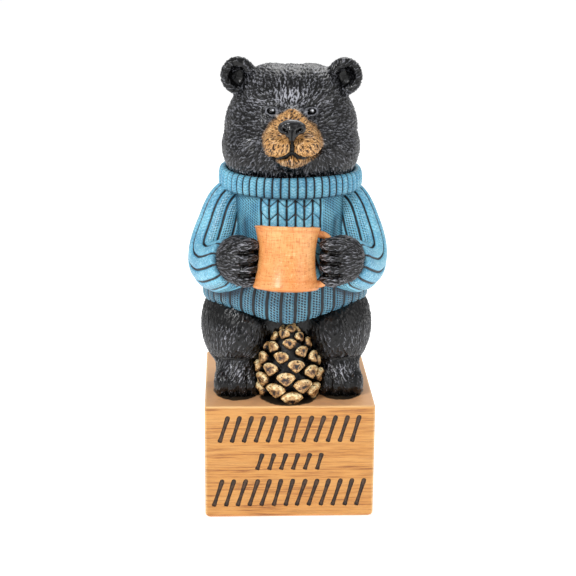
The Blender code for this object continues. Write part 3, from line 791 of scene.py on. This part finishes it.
# %% Ribs and marks of the torso
TORSO_COLUMNS, TORSO_ROWS = 572, 128
turns = full_turn(TORSO_COLUMNS)
heights = np.array([s[0] for s in TORSO])
fine_heights = np.linspace(heights[0], heights[-1], TORSO_ROWS)
shares = np.interp(fine_heights, heights, np.linspace(0, 1, len(heights)))
section = through(TORSO, shares)
MARK_RISE, MARK_APART, MARK_SLANT = 2.0, 8.3, 5.0
HEM_ROLL = ((-1.0, 5.0), (-1.3, 2.6), (-1.0, 1.0), (-0.4, 0.25))
rolled = np.array([section[0] + (drop, 0, 0, 0) for drop, _ in HEM_ROLL])
section = np.concatenate([rolled, section])
inset = np.append([cut for _, cut in HEM_ROLL], np.zeros(TORSO_ROWS))[:, None]
height = np.repeat(section[:, :1], TORSO_COLUMNS, axis=1)
signed = (turns + math.pi) % (2 * math.pi) - math.pi
in_front = np.abs(signed) < math.pi / 2
fanned = signed - 0.15 * smooth_step(104, 86, height) * np.sin(signed)
chest = smooth_step(3.95, 3.7, np.abs(signed) * TORSO_RIBS / (2 * math.pi))
ribbed = np.where(in_front, np.maximum(chest, smooth_step(88, 84, height)), 1.0)
local = across_rib(fanned, TORSO_RIBS)
middle_rib = np.round(fanned * TORSO_RIBS / (2 * math.pi)).astype(int)
leaning = np.where(middle_rib % 2 == 0, -1.0, 1.0)
mark = np.abs((height + leaning * local * MARK_SLANT + MARK_RISE) % MARK_APART - MARK_APART / 2)
mark = np.where((np.abs(middle_rib) <= 3) & (height > 84) & (height < 139)
                & (np.abs(local) < 0.43) & in_front, mark, 99.0)
lift, groove = rib_shape(local, RIB_WIDE, 0.35, 1.2, 0.85)
lift, groove = lift * ribbed, groove + 9 * (1 - ribbed)
lift = lift - 0.85 * hump(mark, 0.75)
print("ribs", TORSO_RIBS, "and marks on the middle", len(np.unique(middle_rib[mark < 99])))

# %% Torso body
half_width = section[:, 1][:, None] - inset + lift
half_depth = section[:, 2][:, None] - inset + lift
on_thighs = np.where(np.cos(turns) > 0, np.abs(np.sin(2 * turns)) ** 1.3, 0)
near_hem = np.clip(1 - (height - heights[0]) / 30, 0, 1.05)
hem_line = (5.8 * on_thighs - 4.3 * np.cos(turns)) * near_hem
across = half_width * np.sin(turns)
fold = hump(np.abs(across) - 20 - 0.08 * height, 2.0) * in_front
fold = fold * smooth_step(98, 106, height) * smooth_step(128, 120, height)
half_depth = half_depth - 1.8 * fold
rows = np.stack([across - 1.7 * smooth_step(92, 70, height),
                 section[:, 3][:, None] - half_depth * np.cos(turns), height + hem_line], -1)
torso = tube("sweater_body", rows, TORSO_RIBS, section[:, 0] / RIB_WIDE)
points = points_of(torso)[0]
# Painted shade under the arms and in the folds beside the chest; towards the hem the sweater is darker,
# partly a darker wash and partly painted shade.
under_arm = np.maximum(smooth_step(6, 0.3, sleeve_reach(points)), 0.9 * with_ends(fold))
low = smooth_step(96, 76, points[:, 2])
plain = with_ends((1 - ribbed) * (height < 137))
line = with_ends(np.minimum(groove, mark + 0.35))
carry(torso, relief=with_ends(1 + lift), line=np.minimum(line, FAR),
      dots=np.maximum(low, 0.85 * plain) * smooth_step(0.8, 1.5, with_ends(groove)),
      ticks=0.3 * (1 - low), shade=np.clip(0.55 * low + 0.75 * under_arm, 0, 1))
smooth_shaded(torso, sweater_paint)
print("sweater body", len(torso.data.polygons) * 2, "triangles")

# %% [markdown]
# ## Collar
# A rolled neck: a fat ring that leans out a little, with straight ribs closer together than on the
# body. The skin runs up the outside, over the roll and down inside to where the chin hides it.

# %% Collar
COLLAR_RIBS, COLLAR_ASIDE = 54, 1.3
COLLAR_HALF_WIDTH, COLLAR_HALF_DEPTH = 46.8, 45.3
turns = full_turn(COLLAR_RIBS * 10)
COLLAR = ((-2.5, 138.7), (-0.6, 138.4), (0.6, 139.6), (1.2, 142.0), (1.3, 145.0), (1.0, 148.4),
          (0.2, 151.0), (-1.6, 152.1), (-3.6, 151.4), (-4.6, 149), (-5.2, 145.0))
profile = through(COLLAR, np.linspace(0, 1, 58))
local = np.tile(across_rib(turns, COLLAR_RIBS), (len(profile), 1))
outside = smooth_step(-4.4, -1.8, profile[:, 0])[:, None]
lift, groove = rib_shape(local, 5.5, 0.3, 1.05, 0.8)
lift = lift * outside
out = profile[:, 0][:, None] + lift
sway = 0.5 * np.sin(turns * 3 + 0.6) * smooth_step(140, 152, profile[:, 1])[:, None]
rows = np.stack([(COLLAR_HALF_WIDTH + out) * np.sin(turns) + COLLAR_ASIDE,
                 -(COLLAR_HALF_DEPTH + out) * np.cos(turns), profile[:, 1][:, None] + sway], -1)
collar = tube("sweater_collar", rows, COLLAR_RIBS, np.linspace(0, 6, len(profile)))
# Painted shadow of the chin on the front of the collar, and painted shade at the collar's foot and
# inside the roll.
chin_shadow = 0.25 * smooth_step(0.5, 1, np.cos(turns))
line = (1.2 + 0.7 * np.sin(turns) ** 2) * groove + 3 * (1 - outside)
foot_shade = 0.7 * smooth_step(141, 138.8, profile[:, 1])[:, None]
carry(collar, relief=with_ends(1 + lift), line=np.minimum(with_ends(line), FAR), dots=0,
      ticks=with_ends(0.8 * outside, groove.shape),
      shade=with_ends(foot_shade + 0.6 * (1 - outside) + chin_shadow))
smooth_shaded(collar, sweater_paint)
print("collar", len(collar.data.polygons) * 2, "triangles")

# %% [markdown]
# ## Sleeves
# A sleeve bends at the elbow, and its ribs have to follow without twisting. The rows are carried
# along the arm's path, each turned only as much as the path turns, so that a rib on the front of
# the upper arm ends on top of the forearm. The cuff rolls in over the paw's wrist.

# %% Sleeves
SLEEVE_RIBS, SLEEVE_ROWS, SLEEVE_COLUMNS = 12, 150, 186


def sleeve(name, side):
    path = through(SLEEVE, np.linspace(0, 1, SLEEVE_ROWS))
    centre, radius = path[:, :3] * (side, 1, 1), path[:, 3]
    centre[:, 0] -= 1.2 * smooth_step(0.2, 0.6, np.linspace(0, 1, SLEEVE_ROWS))
    ahead = unit(np.gradient(centre, axis=0))
    front = np.array((0.0, -1.0, 0.0))
    turns = full_turn(SLEEVE_COLUMNS)
    local = across_rib(turns, SLEEVE_RIBS, -0.033)
    run = np.concatenate([[0], np.cumsum(np.linalg.norm(np.diff(centre, axis=0), axis=1))])
    rows, lifts, grooves = [], [], []
    for i in range(SLEEVE_ROWS):
        front = unit(front - ahead[i] * (front @ ahead[i]))
        aside = np.cross(ahead[i], front) * side
        pitch = 2 * math.pi * radius[i] / SLEEVE_RIBS
        lift, groove = rib_shape(local, pitch, 0.5, 1.2, 0.9)
        ring = np.cos(turns)[:, None] * front + np.sin(turns)[:, None] * aside
        rows.append(centre[i] + ring * (radius[i] + lift)[:, None])
        lifts.append(lift)
        grooves.append(groove)
    for inward, onward in ((1.0, 0.9), (2.6, 1.3), (4.4, 1.0), (6.0, 0.0)):
        rolled_in = (radius[-1] - inward + lift * 0.5)[:, None]
        rows.append(centre[-1] + ahead[-1] * onward + ring * rolled_in)
        lifts.append(lift * 0.5)
        grooves.append(groove)
    rows, lift, groove = np.array(rows), np.array(lifts), np.array(grooves)
    run = np.append(run, run[-1] + np.array((1, 2.5, 4, 5.5)))
    piece = tube(name, rows, 18, run / 6.3)
    outer = smooth_step(-0.35, -0.7, np.sin(turns))
    # Painted shade where the cuff rolls in over the paw.
    cuff_shade = 0.8 * smooth_step(run[-1] - 6, run[-1] - 3, run)[:, None]
    carry(piece, relief=with_ends(1 + lift), line=np.minimum(with_ends(groove), FAR),
          dots=with_ends((0.8 - 0.7 * outer) * smooth_step(1.2, 2.2, groove)),
          ticks=with_ends(0.1 + 0.35 * outer, groove.shape), shade=with_ends(cuff_shade, groove.shape))
    return smooth_shaded(piece, sweater_paint)


sleeves = [sleeve("sleeve_right", -1), sleeve("sleeve_left", 1)]
print("sleeves", [len(s.data.polygons) * 2 for s in sleeves], "triangles")

# %% [markdown]
# ## Mug
# A mug with a waist, turned on a wheel: one outline, spun. The outline runs from the middle of
# the underside up the wall, over the rounded rim and down inside, so that the wall is real. The
# glaze is peach orange over a linen-like weave of fine marks, browner at the rim and the base.

# %% Mug material
mug_paint, tree = new_material("mug_paint")
weave_up = cloud(tree, 800, 3, stretch=(1.4, 1.4, 0.2))
weave_across = cloud(tree, 800, 3, stretch=(0.2, 0.2, 1.8))
weave = plus(tree, weave_up, weave_across)
patch = ramp(tree, cloud(tree, 55, 3), 0.38, 0.66)
glaze = blend(tree, patch, srgb(232, 152, 84), srgb(240, 174, 108))
glaze = blend(tree, ramp(tree, weave, 0.98, 0.8, 0, 0.7), glaze, srgb(190, 102, 40))
glaze = blend(tree, ramp(tree, weave, 1.12, 1.3, 0, 0.55), glaze, srgb(255, 214, 160))
glaze = blend(tree, carried(tree, "band"), glaze, srgb(222, 128, 56))
finish_with(mug_paint, glaze, [(weave, 0.00022)], 0.42, 0.25)
print(mug_paint.name, len(tree.nodes), "nodes")

# %% Mug body
MUG_WALL, MUG_FLOOR = 2.6, 5.0


def mug_radius(share):
    end = np.where(share < 0.5, MUG_BASE, MUG_RIM)
    return MUG_WAIST + (end - MUG_WAIST) * (np.abs(share - 0.5) / 0.5) ** 2


outline = [(0.55 * MUG_BASE, -2.2), (0.9 * MUG_BASE, -1.0), (MUG_BASE - 0.5, -0.3)]
outline += [(float(mug_radius(s)), MUG_HEIGHT * s) for s in np.linspace(0.015, 0.97, 44)]
outline += [(MUG_RIM - MUG_WALL / 2 + math.cos(a) * MUG_WALL / 2,
             MUG_HEIGHT * 0.97 + math.sin(a) * 1.1) for a in np.linspace(0.2, math.pi - 0.2, 7)]
outline += [(float(mug_radius(max(s, 0.3))) - MUG_WALL, MUG_HEIGHT * s)
            for s in np.linspace(0.96, 0.2, 22)]
outline += [(MUG_WAIST - MUG_WALL - 3, MUG_FLOOR + 0.6), (MUG_WAIST - MUG_WALL - 7, MUG_FLOOR)]
outline = np.array(outline)
tilt = np.array(Matrix.Rotation(-MUG_LEAN, 3, "X") @ Matrix.Rotation(MUG_TIP, 3, "Y"))
rows = spun(outline, 160)
mug_height = rows[:, :, 2]
mug_band = (0.7 * hump(mug_height - 5.0, 0.7) + 0.7 * hump(mug_height - 36.5, 0.6)
            + 0.5 * smooth_step(1.5, 0, mug_height))
mug = tube("mug", rows @ tilt.T + MUG_FOOT, 1, np.linspace(0, 1, len(outline)))
carry(mug, band=with_ends(mug_band))
print("the mug is", MUG_HEIGHT, "mm tall and", 2 * MUG_RIM, "mm across its rim")


# %% [markdown]
# ## Handle
# A strap bent into a C, whose upright the left paw closes round. It is another tube: an oval
# carried round a half circle. It is joined to the mug, as both are one casting.

# %% Mug handle
HANDLE_REACH, HANDLE_HALF_HEIGHT, HANDLE_MIDDLE = 12.0, MUG_HEIGHT * 0.41, MUG_HEIGHT * 0.48
STRAP_THICK, STRAP_WIDE = 2.4, 2.9


def handle():
    rows = []
    angles = full_turn(20)[:, None]
    for turn in np.radians(np.linspace(-97, 97, 46)):
        out = np.array((math.cos(turn), 0, math.sin(turn)))
        squared = np.sign(out) * np.abs(out) ** 0.7 * (HANDLE_REACH, 0, HANDLE_HALF_HEIGHT)
        path = np.array((MUG_WAIST - 1, 1.5, HANDLE_MIDDLE)) + squared
        oval = out * np.cos(angles) * STRAP_THICK + np.array((0, 1, 0)) * np.sin(angles) * STRAP_WIDE
        rows.append(path + oval)
    return np.array(rows) @ tilt.T + MUG_FOOT


strap = tube("mug_handle", handle(), 1, np.linspace(0, 1, 46))
carry(strap, band=0.25)
for piece in (mug, strap):
    smooth_shaded(piece, mug_paint)
joined(mug, strap)
print("mug", len(mug.data.polygons) * 2, "triangles")

# %% [markdown]
# ## Pine cone
# A cone grows its scales on a golden spiral, each a fixed angle round from the last, and that is a
# rule, so Geometry Nodes follow it. The tree takes one scale and sets it along the spiral: it
# counts points, and works out each one's turn, height, radius, tilt and size from its number. One
# scale has a few dozen faces, and an attribute says how near its painted tip each point is. It is
# raised on the upper side of each tip and lowered underneath, so the tips are painted paler above
# and darker below: painted light. The palest cream on the tips is a painted highlight.

# %% Cone paint and one scale
cone_paint, tree = new_material("cone_paint")
tip = carried(tree, "tip")
flecks = cloud(tree, 420, 4)
painted_tip = plus(tree, tip, times(tree, minus(tree, flecks, 0.5), 1.3))
gold = blend(tree, ramp(tree, painted_tip, 0.55, 0.9), srgb(104, 66, 34), srgb(206, 162, 104))
# Painted highlight: the highest values, mostly on the upper edges of the tips, turn pale cream.
gold = blend(tree, ramp(tree, painted_tip, 0.85, 1.1), gold, srgb(252, 230, 178))
gold = blend(tree, ramp(tree, cloud(tree, 700, 3), 0.46, 0.36), gold, srgb(46, 28, 16))
gold = blend(tree, ramp(tree, painted_tip, 0.48, 0.62), srgb(5, 5, 6), gold)
finish_with(cone_paint, gold, [(flecks, 0.0011)], 0.4, 0.2)

SCALE_CORNERS = 12
SCALE_RINGS = ((0.0, 0.35, 0.0), (0.4, 0.7, 0.0), (0.66, 0.98, 0.35), (0.86, 1.04, 0.85),
               (0.96, 0.86, 0.9), (1.0, 0.5, 0.75), (1.05, 0.2, 0.6))


def ring_faces(rings, corners):
    """Faces between rings that have so many corners each, and one to close each end."""
    faces = []
    for low in range(0, (rings - 1) * corners, corners):
        for i in range(corners):
            j = (i + 1) % corners
            faces.append((low + i, low + j, low + corners + j, low + corners + i))
    last = (rings - 1) * corners
    return faces + [tuple(range(corners - 1, -1, -1)), tuple(range(last, last + corners))]


def one_scale():
    """A woody wedge along +X, one unit long, with a shield-shaped tip and a boss on it."""
    rings, tips_with_light = [], []
    for reach, grow, tip in SCALE_RINGS:
        for step in range(SCALE_CORNERS):
            turn = 2 * math.pi * step / SCALE_CORNERS
            y, z = math.cos(turn), math.sin(turn)
            pinch = 1 - 0.6 * max(0.0, -z)
            deep = 0.3 if z > 0 else 0.42
            rings.append((reach + 0.08 * z, 0.5 * grow * y * pinch, deep * grow * z))
            # Painted light: the upper side of a tip counts higher and the underside lower.
            tips_with_light.append(tip + 0.18 * z * (tip > 0.3))
    faces = ring_faces(len(SCALE_RINGS), SCALE_CORNERS)
    mesh = bpy.data.meshes.new("one_scale")
    mesh.from_pydata(rings, [], faces)
    piece = link("one_scale", mesh)
    carry(piece, tip=tips_with_light)
    return smooth_shaded(piece, cone_paint)


scale_model = one_scale()
print("one scale has", len(scale_model.data.polygons), "faces")

# %% Cone tree
CONE_FOOT = np.array((-0.3, -35.0, -0.3))
CONE_HEIGHT, CONE_RADIUS, CONE_SCALES, SCALE_SIZE = 54.0, 23.0, 46, 15.5


def new_tree(name, **inputs):
    """A geometry node group with these inputs, and their sockets. An underscore stands for a space."""
    group = bpy.data.node_groups.new(name, "GeometryNodeTree")
    for label, kind in inputs.items():
        group.interface.new_socket(label.replace("_", " "), in_out="INPUT",
                                   socket_type="NodeSocket" + kind)
    group.interface.new_socket("Geometry", in_out="OUTPUT", socket_type="NodeSocketGeometry")
    return group, group.nodes.new("NodeGroupInput").outputs


def set_copies(tree, model, paint, points, facing, grow):
    """Ends a tree: copies of the model on the points, turned and sized, as plain painted faces."""
    source = node(tree, "GeometryNodeObjectInfo", {0: model})
    rotation = node(tree, "FunctionNodeEulerToRotation", {0: facing.outputs[0]})
    placed = node(tree, "GeometryNodeInstanceOnPoints", {
        "Points": points.outputs[0], "Instance": source.outputs["Geometry"],
        "Rotation": rotation.outputs[0], "Scale": grow.outputs[0]})
    real = node(tree, "GeometryNodeRealizeInstances", {0: placed.outputs[0]})
    painted = node(tree, "GeometryNodeSetMaterial", {0: real.outputs[0], "Material": paint})
    node(tree, "NodeGroupOutput", {0: painted.outputs[0]})


spiral, given = new_tree("golden_spiral", Scale="Object", Paint="Material", Scales="Int",
                         Height="Float", Radius="Float", Scale_Size="Float")
number = node(spiral, "GeometryNodeInputIndex").outputs[0]
count_less = minus(spiral, given["Scales"], 1.0)
order = maths(spiral, "DIVIDE", number, count_less)
share = maths(spiral, "MULTIPLY_ADD", maths(spiral, "POWER", order, 0.88), 0.92, 0.04)
turn = times(spiral, number, math.radians(137.50776))
below = minus(spiral, 1.0, maths(spiral, "DIVIDE", share, 0.3))
below = maths(spiral, "MAXIMUM", below, 0.0)
above = maths(spiral, "DIVIDE", minus(spiral, share, 0.3), 0.7)
above = maths(spiral, "MAXIMUM", above, 0.0)
fullness = maths(spiral, "MULTIPLY_ADD", maths(spiral, "POWER", below, 2.0), -0.25, 1.0)
fullness = minus(spiral, fullness, maths(spiral, "POWER", above, 2.2))
size = times(spiral, maths(spiral, "MULTIPLY_ADD", share, -0.5, 1.0), given["Scale Size"])
climb = maths(spiral, "MULTIPLY_ADD", share, math.radians(78), math.radians(-12))
inner = minus(spiral, times(spiral, fullness, given["Radius"]),
              times(spiral, size, maths(spiral, "COSINE", climb)))
rise = minus(spiral, times(spiral, share, given["Height"]),
             times(spiral, size, maths(spiral, "SINE", climb)))
place = node(spiral, "ShaderNodeCombineXYZ", {
    0: times(spiral, inner, maths(spiral, "COSINE", turn)),
    1: times(spiral, inner, maths(spiral, "SINE", turn)), 2: rise})
dots = node(spiral, "GeometryNodePoints", {"Count": given["Scales"], "Position": place.outputs[0]})
waver = node(spiral, "FunctionNodeRandomValue", {2: -0.14, 3: 0.14, "Seed": 5}, data_type="FLOAT")
facing = node(spiral, "ShaderNodeCombineXYZ", {
    0: waver.outputs[1], 1: times(spiral, climb, -1.0), 2: turn})
grow = node(spiral, "ShaderNodeVectorMath", {0: (1.0, 1.0, 1.0), "Scale": size}, operation="SCALE")
set_copies(spiral, given["Scale"], given["Paint"], dots, facing, grow)
print(spiral.name, len(spiral.nodes), "nodes")


# %% [markdown]
# A modifier's inputs are set by the socket's identifier before the object is first evaluated. The
# result is turned into a plain mesh, moved to its place, and joined with a turned core.

# %% Cone
def run_tree(name, group, **values):
    """A plain mesh object made by a node group. Words in a value's name are the input's words."""
    holder = link(name, bpy.data.meshes.new(name))
    step = holder.modifiers.new(name, "NODES")
    step.node_group = group
    sockets = {s.name: s.identifier for s in group.interface.items_tree
               if s.item_type == "SOCKET" and s.in_out == "INPUT"}
    for words, value in values.items():
        step[sockets[words.replace("_", " ")]] = value
    return made_solid(holder, name)


pine_cone = run_tree("pine_cone", spiral, Scale=scale_model, Paint=cone_paint, Scales=CONE_SCALES,
                     Height=CONE_HEIGHT * MM, Radius=CONE_RADIUS * MM, Scale_Size=SCALE_SIZE * MM)
pine_cone.data.transform(Matrix.Translation((CONE_FOOT + SEAT) * MM))
bpy.data.objects.remove(scale_model, do_unlink=True)
shares = np.linspace(0, 0.95, 20)[:, None]
fullness = np.where(shares < 0.3, 1 - 0.25 * (1 - shares / 0.3) ** 2,
                    1 - (np.maximum(shares - 0.3, 0) / 0.7) ** 2.2) * CONE_RADIUS * 0.58
rows = spun(np.hstack([fullness, shares * CONE_HEIGHT]), 40) + CONE_FOOT
core = tube("cone_core", rows, 1, np.linspace(0, 1, 20))
carry(core, tip=0)
smooth_shaded(core, cone_paint)
joined(pine_cone, core)
smooth_shaded(pine_cone, cone_paint)
print("pine cone", len(pine_cone.data.polygons), "faces")

# %% [markdown]
# ## Block
# The block is painted like planed wood: fine level grain and warmer in front. It is paler and
# pinker on top, painted light from above, and pale along its edges, a painted highlight broken up by
# the grain. Three rows of chisel strokes run across the front. They all lean the same way and say
# nothing. A second node tree lays out one row of strokes, and is used three times with other sizes.
# Its strokes are cutters for a Boolean, as a chisel takes wood away.

# %% Block paint
# Black stains round both feet and the cone: (across, depth, half width, half depth)
STAINS = ((-35, -24, 15.6, 21.6), (35, -24, 15.6, 21.6), (-0.3, -36, 19.4, 20.2))
block_paint, tree = new_material("block_paint")
seen = node(tree, "ShaderNodeTexCoord").outputs["Object"]
grain = cloud(tree, 560, 4, seen, (0.07, 0.07, 1.9))
bands = cloud(tree, 60, 4, seen, (0.3, 0.3, 2.2))
wood = blend(tree, ramp(tree, grain, 0.36, 0.62), srgb(184, 120, 54), srgb(208, 146, 73))
wood = blend(tree, ramp(tree, bands, 0.42, 0.66, 0, 0.7), wood, srgb(216, 158, 87))
streaks = times(tree, ramp(tree, grain, 0.5, 0.36), ramp(tree, bands, 0.56, 0.36, 0.2, 0.75))
wood = blend(tree, streaks, wood, srgb(128, 74, 32))
# Painted light: the top is painted paler and pinker, as if lit from above.
wood = blend(tree, ramp(tree, facing_up(tree), 0.6, 0.95, 0, 0.55), wood, srgb(236, 186, 142))
for x, y, half_width, half_depth in STAINS:
    middle = (x * MM, y * MM, BLOCK[2] * MM)
    per_metre = (1 / half_width / MM, 1 / half_depth / MM, 1 / 6 / MM)
    away = node(tree, "ShaderNodeVectorMath", {0: seen, 1: middle}, operation="SUBTRACT")
    away = node(tree, "ShaderNodeVectorMath", {0: away.outputs[0], 1: per_metre}, operation="MULTIPLY")
    away = node(tree, "ShaderNodeVectorMath", {0: away.outputs[0]}, operation="LENGTH")
    rough_edge = plus(tree, away.outputs["Value"], times(tree, cloud(tree, 200, 3), 0.2))
    wood = blend(tree, ramp(tree, rough_edge, 1.16, 1.08), wood, srgb(14, 11, 10))
# Painted highlight along the edges, broken up by the grain.
edge_highlight = times(tree, carried(tree, "edge"), ramp(tree, grain, 0.35, 0.6, 0.4, 0.9))
wood = blend(tree, edge_highlight, wood, srgb(250, 208, 146))
finish_with(block_paint, wood, [(grain, 0.0009), (cloud(tree, 900, 2), 0.0001)], 0.5, 0.1)
stroke_paint, tree = new_material("stroke_paint")
umber = blend(tree, ramp(tree, cloud(tree, 400, 3), 0.4, 0.65), srgb(44, 30, 20), srgb(78, 54, 34))
finish_with(stroke_paint, umber, [(cloud(tree, 900, 2), 0.0002)], 0.55, 0.1)
print("wood with", len(STAINS), "black stains, round both feet and the cone")

# %% Stroke row tree
row_tree, given = new_tree("stroke_row", Stroke="Object", Paint="Material", Strokes="Int",
                           Pitch="Float", Stroke_Height="Float", Middle="Vector", Lean="Float")
half_row = times(row_tree, minus(row_tree, given["Strokes"], 1.0), -0.5)
start = node(row_tree, "ShaderNodeCombineXYZ", {0: times(row_tree, half_row, given["Pitch"])})
first = node(row_tree, "ShaderNodeVectorMath", {0: start.outputs[0], 1: given["Middle"]},
             operation="ADD")
step = node(row_tree, "ShaderNodeCombineXYZ", {0: given["Pitch"]})
line = node(row_tree, "GeometryNodeMeshLine", {
    "Count": given["Strokes"], "Start Location": first.outputs[0], "Offset": step.outputs[0]})
waver = node(row_tree, "FunctionNodeRandomValue", {2: -0.035, 3: 0.035, "Seed": 3}, data_type="FLOAT")
lean = plus(row_tree, given["Lean"], waver.outputs[1])
facing = node(row_tree, "ShaderNodeCombineXYZ", {1: lean})
grow = node(row_tree, "ShaderNodeCombineXYZ", {0: 1.0, 1: 1.0, 2: given["Stroke Height"]})
set_copies(row_tree, given["Stroke"], given["Paint"], line, facing, grow)
print(row_tree.name, len(row_tree.nodes), "nodes")

# %% Strokes
STROKE_ROWS = ((0.80, 0.245, 0.90), (0.51, 0.155, 0.45), (0.23, 0.255, 0.95))
STROKE_PITCH, STROKE_DEPTH, STROKE_LEAN = 8.0, 0.9, math.radians(16)


def one_stroke():
    """A stroke one metre tall, widest in the middle, with a wedge-shaped foot: a cutter."""
    widths = ((-0.5, 1.2), (-0.44, 1.75), (-0.36, 1.45), (-0.15, 1.25), (0.15, 1.4), (0.38, 1.75),
              (0.46, 1.5), (0.5, 0.7))
    rings = []
    for y, share in ((-2.0, 1.15), (0.0, 1.0), (STROKE_DEPTH, 0.45)):
        edge = [(-w * share, y, z) for z, w in widths]
        edge += [(w * share * 0.9, y, z) for z, w in reversed(widths)]
        rings += [(x * MM, y * MM, z) for x, y, z in edge]
    mesh = bpy.data.meshes.new("one_stroke")
    mesh.from_pydata(rings, [], ring_faces(3, 2 * len(widths)))
    outward_faces(mesh)
    return link("one_stroke", mesh)


stroke_model = one_stroke()
cutters = []
for number, (middle, height, length) in enumerate(STROKE_ROWS):
    cutters.append(run_tree(
        f"stroke_row_{number + 1}", row_tree, Stroke=stroke_model, Paint=stroke_paint,
        Strokes=int(length * BLOCK[0] / STROKE_PITCH), Pitch=STROKE_PITCH * MM,
        Stroke_Height=height * BLOCK[2] * MM, Lean=STROKE_LEAN,
        Middle=(0.0, -BLOCK[1] / 2 * MM, middle * BLOCK[2] * MM)))
bpy.data.objects.remove(stroke_model, do_unlink=True)
print("strokes", [len(cutter.data.polygons) for cutter in cutters], "faces")

# %% Block body
EDGE_ROUND, FOOT_ROUND, CORNER_ROUND = 1.4, 3.5, 1.8


def block_ring(inset, height):
    """A level rectangle with rounded corners, inset from the block's sides."""
    turns = np.radians(np.arange(4)[:, None] * 90 + np.linspace(0, 90, 7))
    round_corner = np.stack([np.cos(turns), np.sin(turns)], -1) * CORNER_ROUND
    signs = np.array(((1, 1), (-1, 1), (-1, -1), (1, -1)))[:, None]
    flat = signs * (BLOCK[:2] / 2 - inset - CORNER_ROUND) + round_corner
    return np.concatenate([flat.reshape(-1, 2), np.full((28, 1), height)], 1) - SEAT


block_rows = []
for radius, turns in ((FOOT_ROUND, np.linspace(0, 90, 8)), (EDGE_ROUND, np.linspace(90, 0, 6))):
    for turn in np.radians(turns):
        rise = radius * (1 - math.cos(turn))
        height = rise if radius == FOOT_ROUND else BLOCK[2] - rise
        block_rows.append(block_ring(radius * (1 - math.sin(turn)), height))
block = tube("block", np.array(block_rows), 1, np.arange(len(block_rows)))
block.data.materials.append(block_paint)
block.data.materials.append(stroke_paint)
for cutter in cutters:
    cut = block.modifiers.new(cutter.name, "BOOLEAN")
    cut.operation = "DIFFERENCE"
    cut.solver = "EXACT"
    cut.material_mode = "TRANSFER"
    cut.object = cutter
block = made_solid(block, "block")
for cutter in cutters:
    bpy.data.objects.remove(cutter, do_unlink=True)
points = points_of(block)[0] + SEAT
at_edge = np.stack([BLOCK[0] / 2 - np.abs(points[:, 0]), BLOCK[1] / 2 - np.abs(points[:, 1]),
                    BLOCK[2] - points[:, 2]], 1)
at_edge = np.sort(at_edge, axis=1)[:, 1]
carry(block, edge=smooth_step(1.6, 0.2, at_edge))
print("block", len(block.data.polygons), "faces")

# %% [markdown]
# ## Floor
# A plain pale floor, well beyond the frame. A faint glow of its own keeps it white right to the
# horizon, as paper lit from behind would be. It isn't part of the object, so it is stage.

# %% Floor
FLOOR_HALF = 12.0
floor_paint, tree = new_material("floor_paint")
finish_with(floor_paint, (0.93, 0.93, 0.93, 1), [], 0.7, 0.0)
floor_glow = tree.nodes["Principled BSDF"].inputs
floor_glow["Emission Color"].default_value = (1, 1, 1, 1)
floor_glow["Emission Strength"].default_value = 0.5
bm = bmesh.new()
bmesh.ops.create_grid(bm, x_segments=8, y_segments=8, size=FLOOR_HALF)
floor_mesh = bpy.data.meshes.new("floor")
bm.to_mesh(floor_mesh)
bm.free()
floor = smooth_shaded(link("floor", floor_mesh), floor_paint)
print("a floor", 2 * FLOOR_HALF, "m wide")

# %% [markdown]
# ## Hand over to the frame
# Every piece rides on the one body and stands in for the solid, which is hidden. Their
# triangles are counted.

# %% Pieces on the frame
dressed = [head, nose, eyeballs, lower_body, paws, torso, collar, *sleeves, mug, pine_cone, block]
for piece in dressed:
    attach(piece, BODY)
    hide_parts(NODE)
total = 0
for piece in dressed:
    piece.data.calc_loop_triangles()
    total += len(piece.data.loop_triangles)
    print(f"{piece.name:16s}{len(piece.data.loop_triangles):8d} triangles")
print("all", total, "triangles")
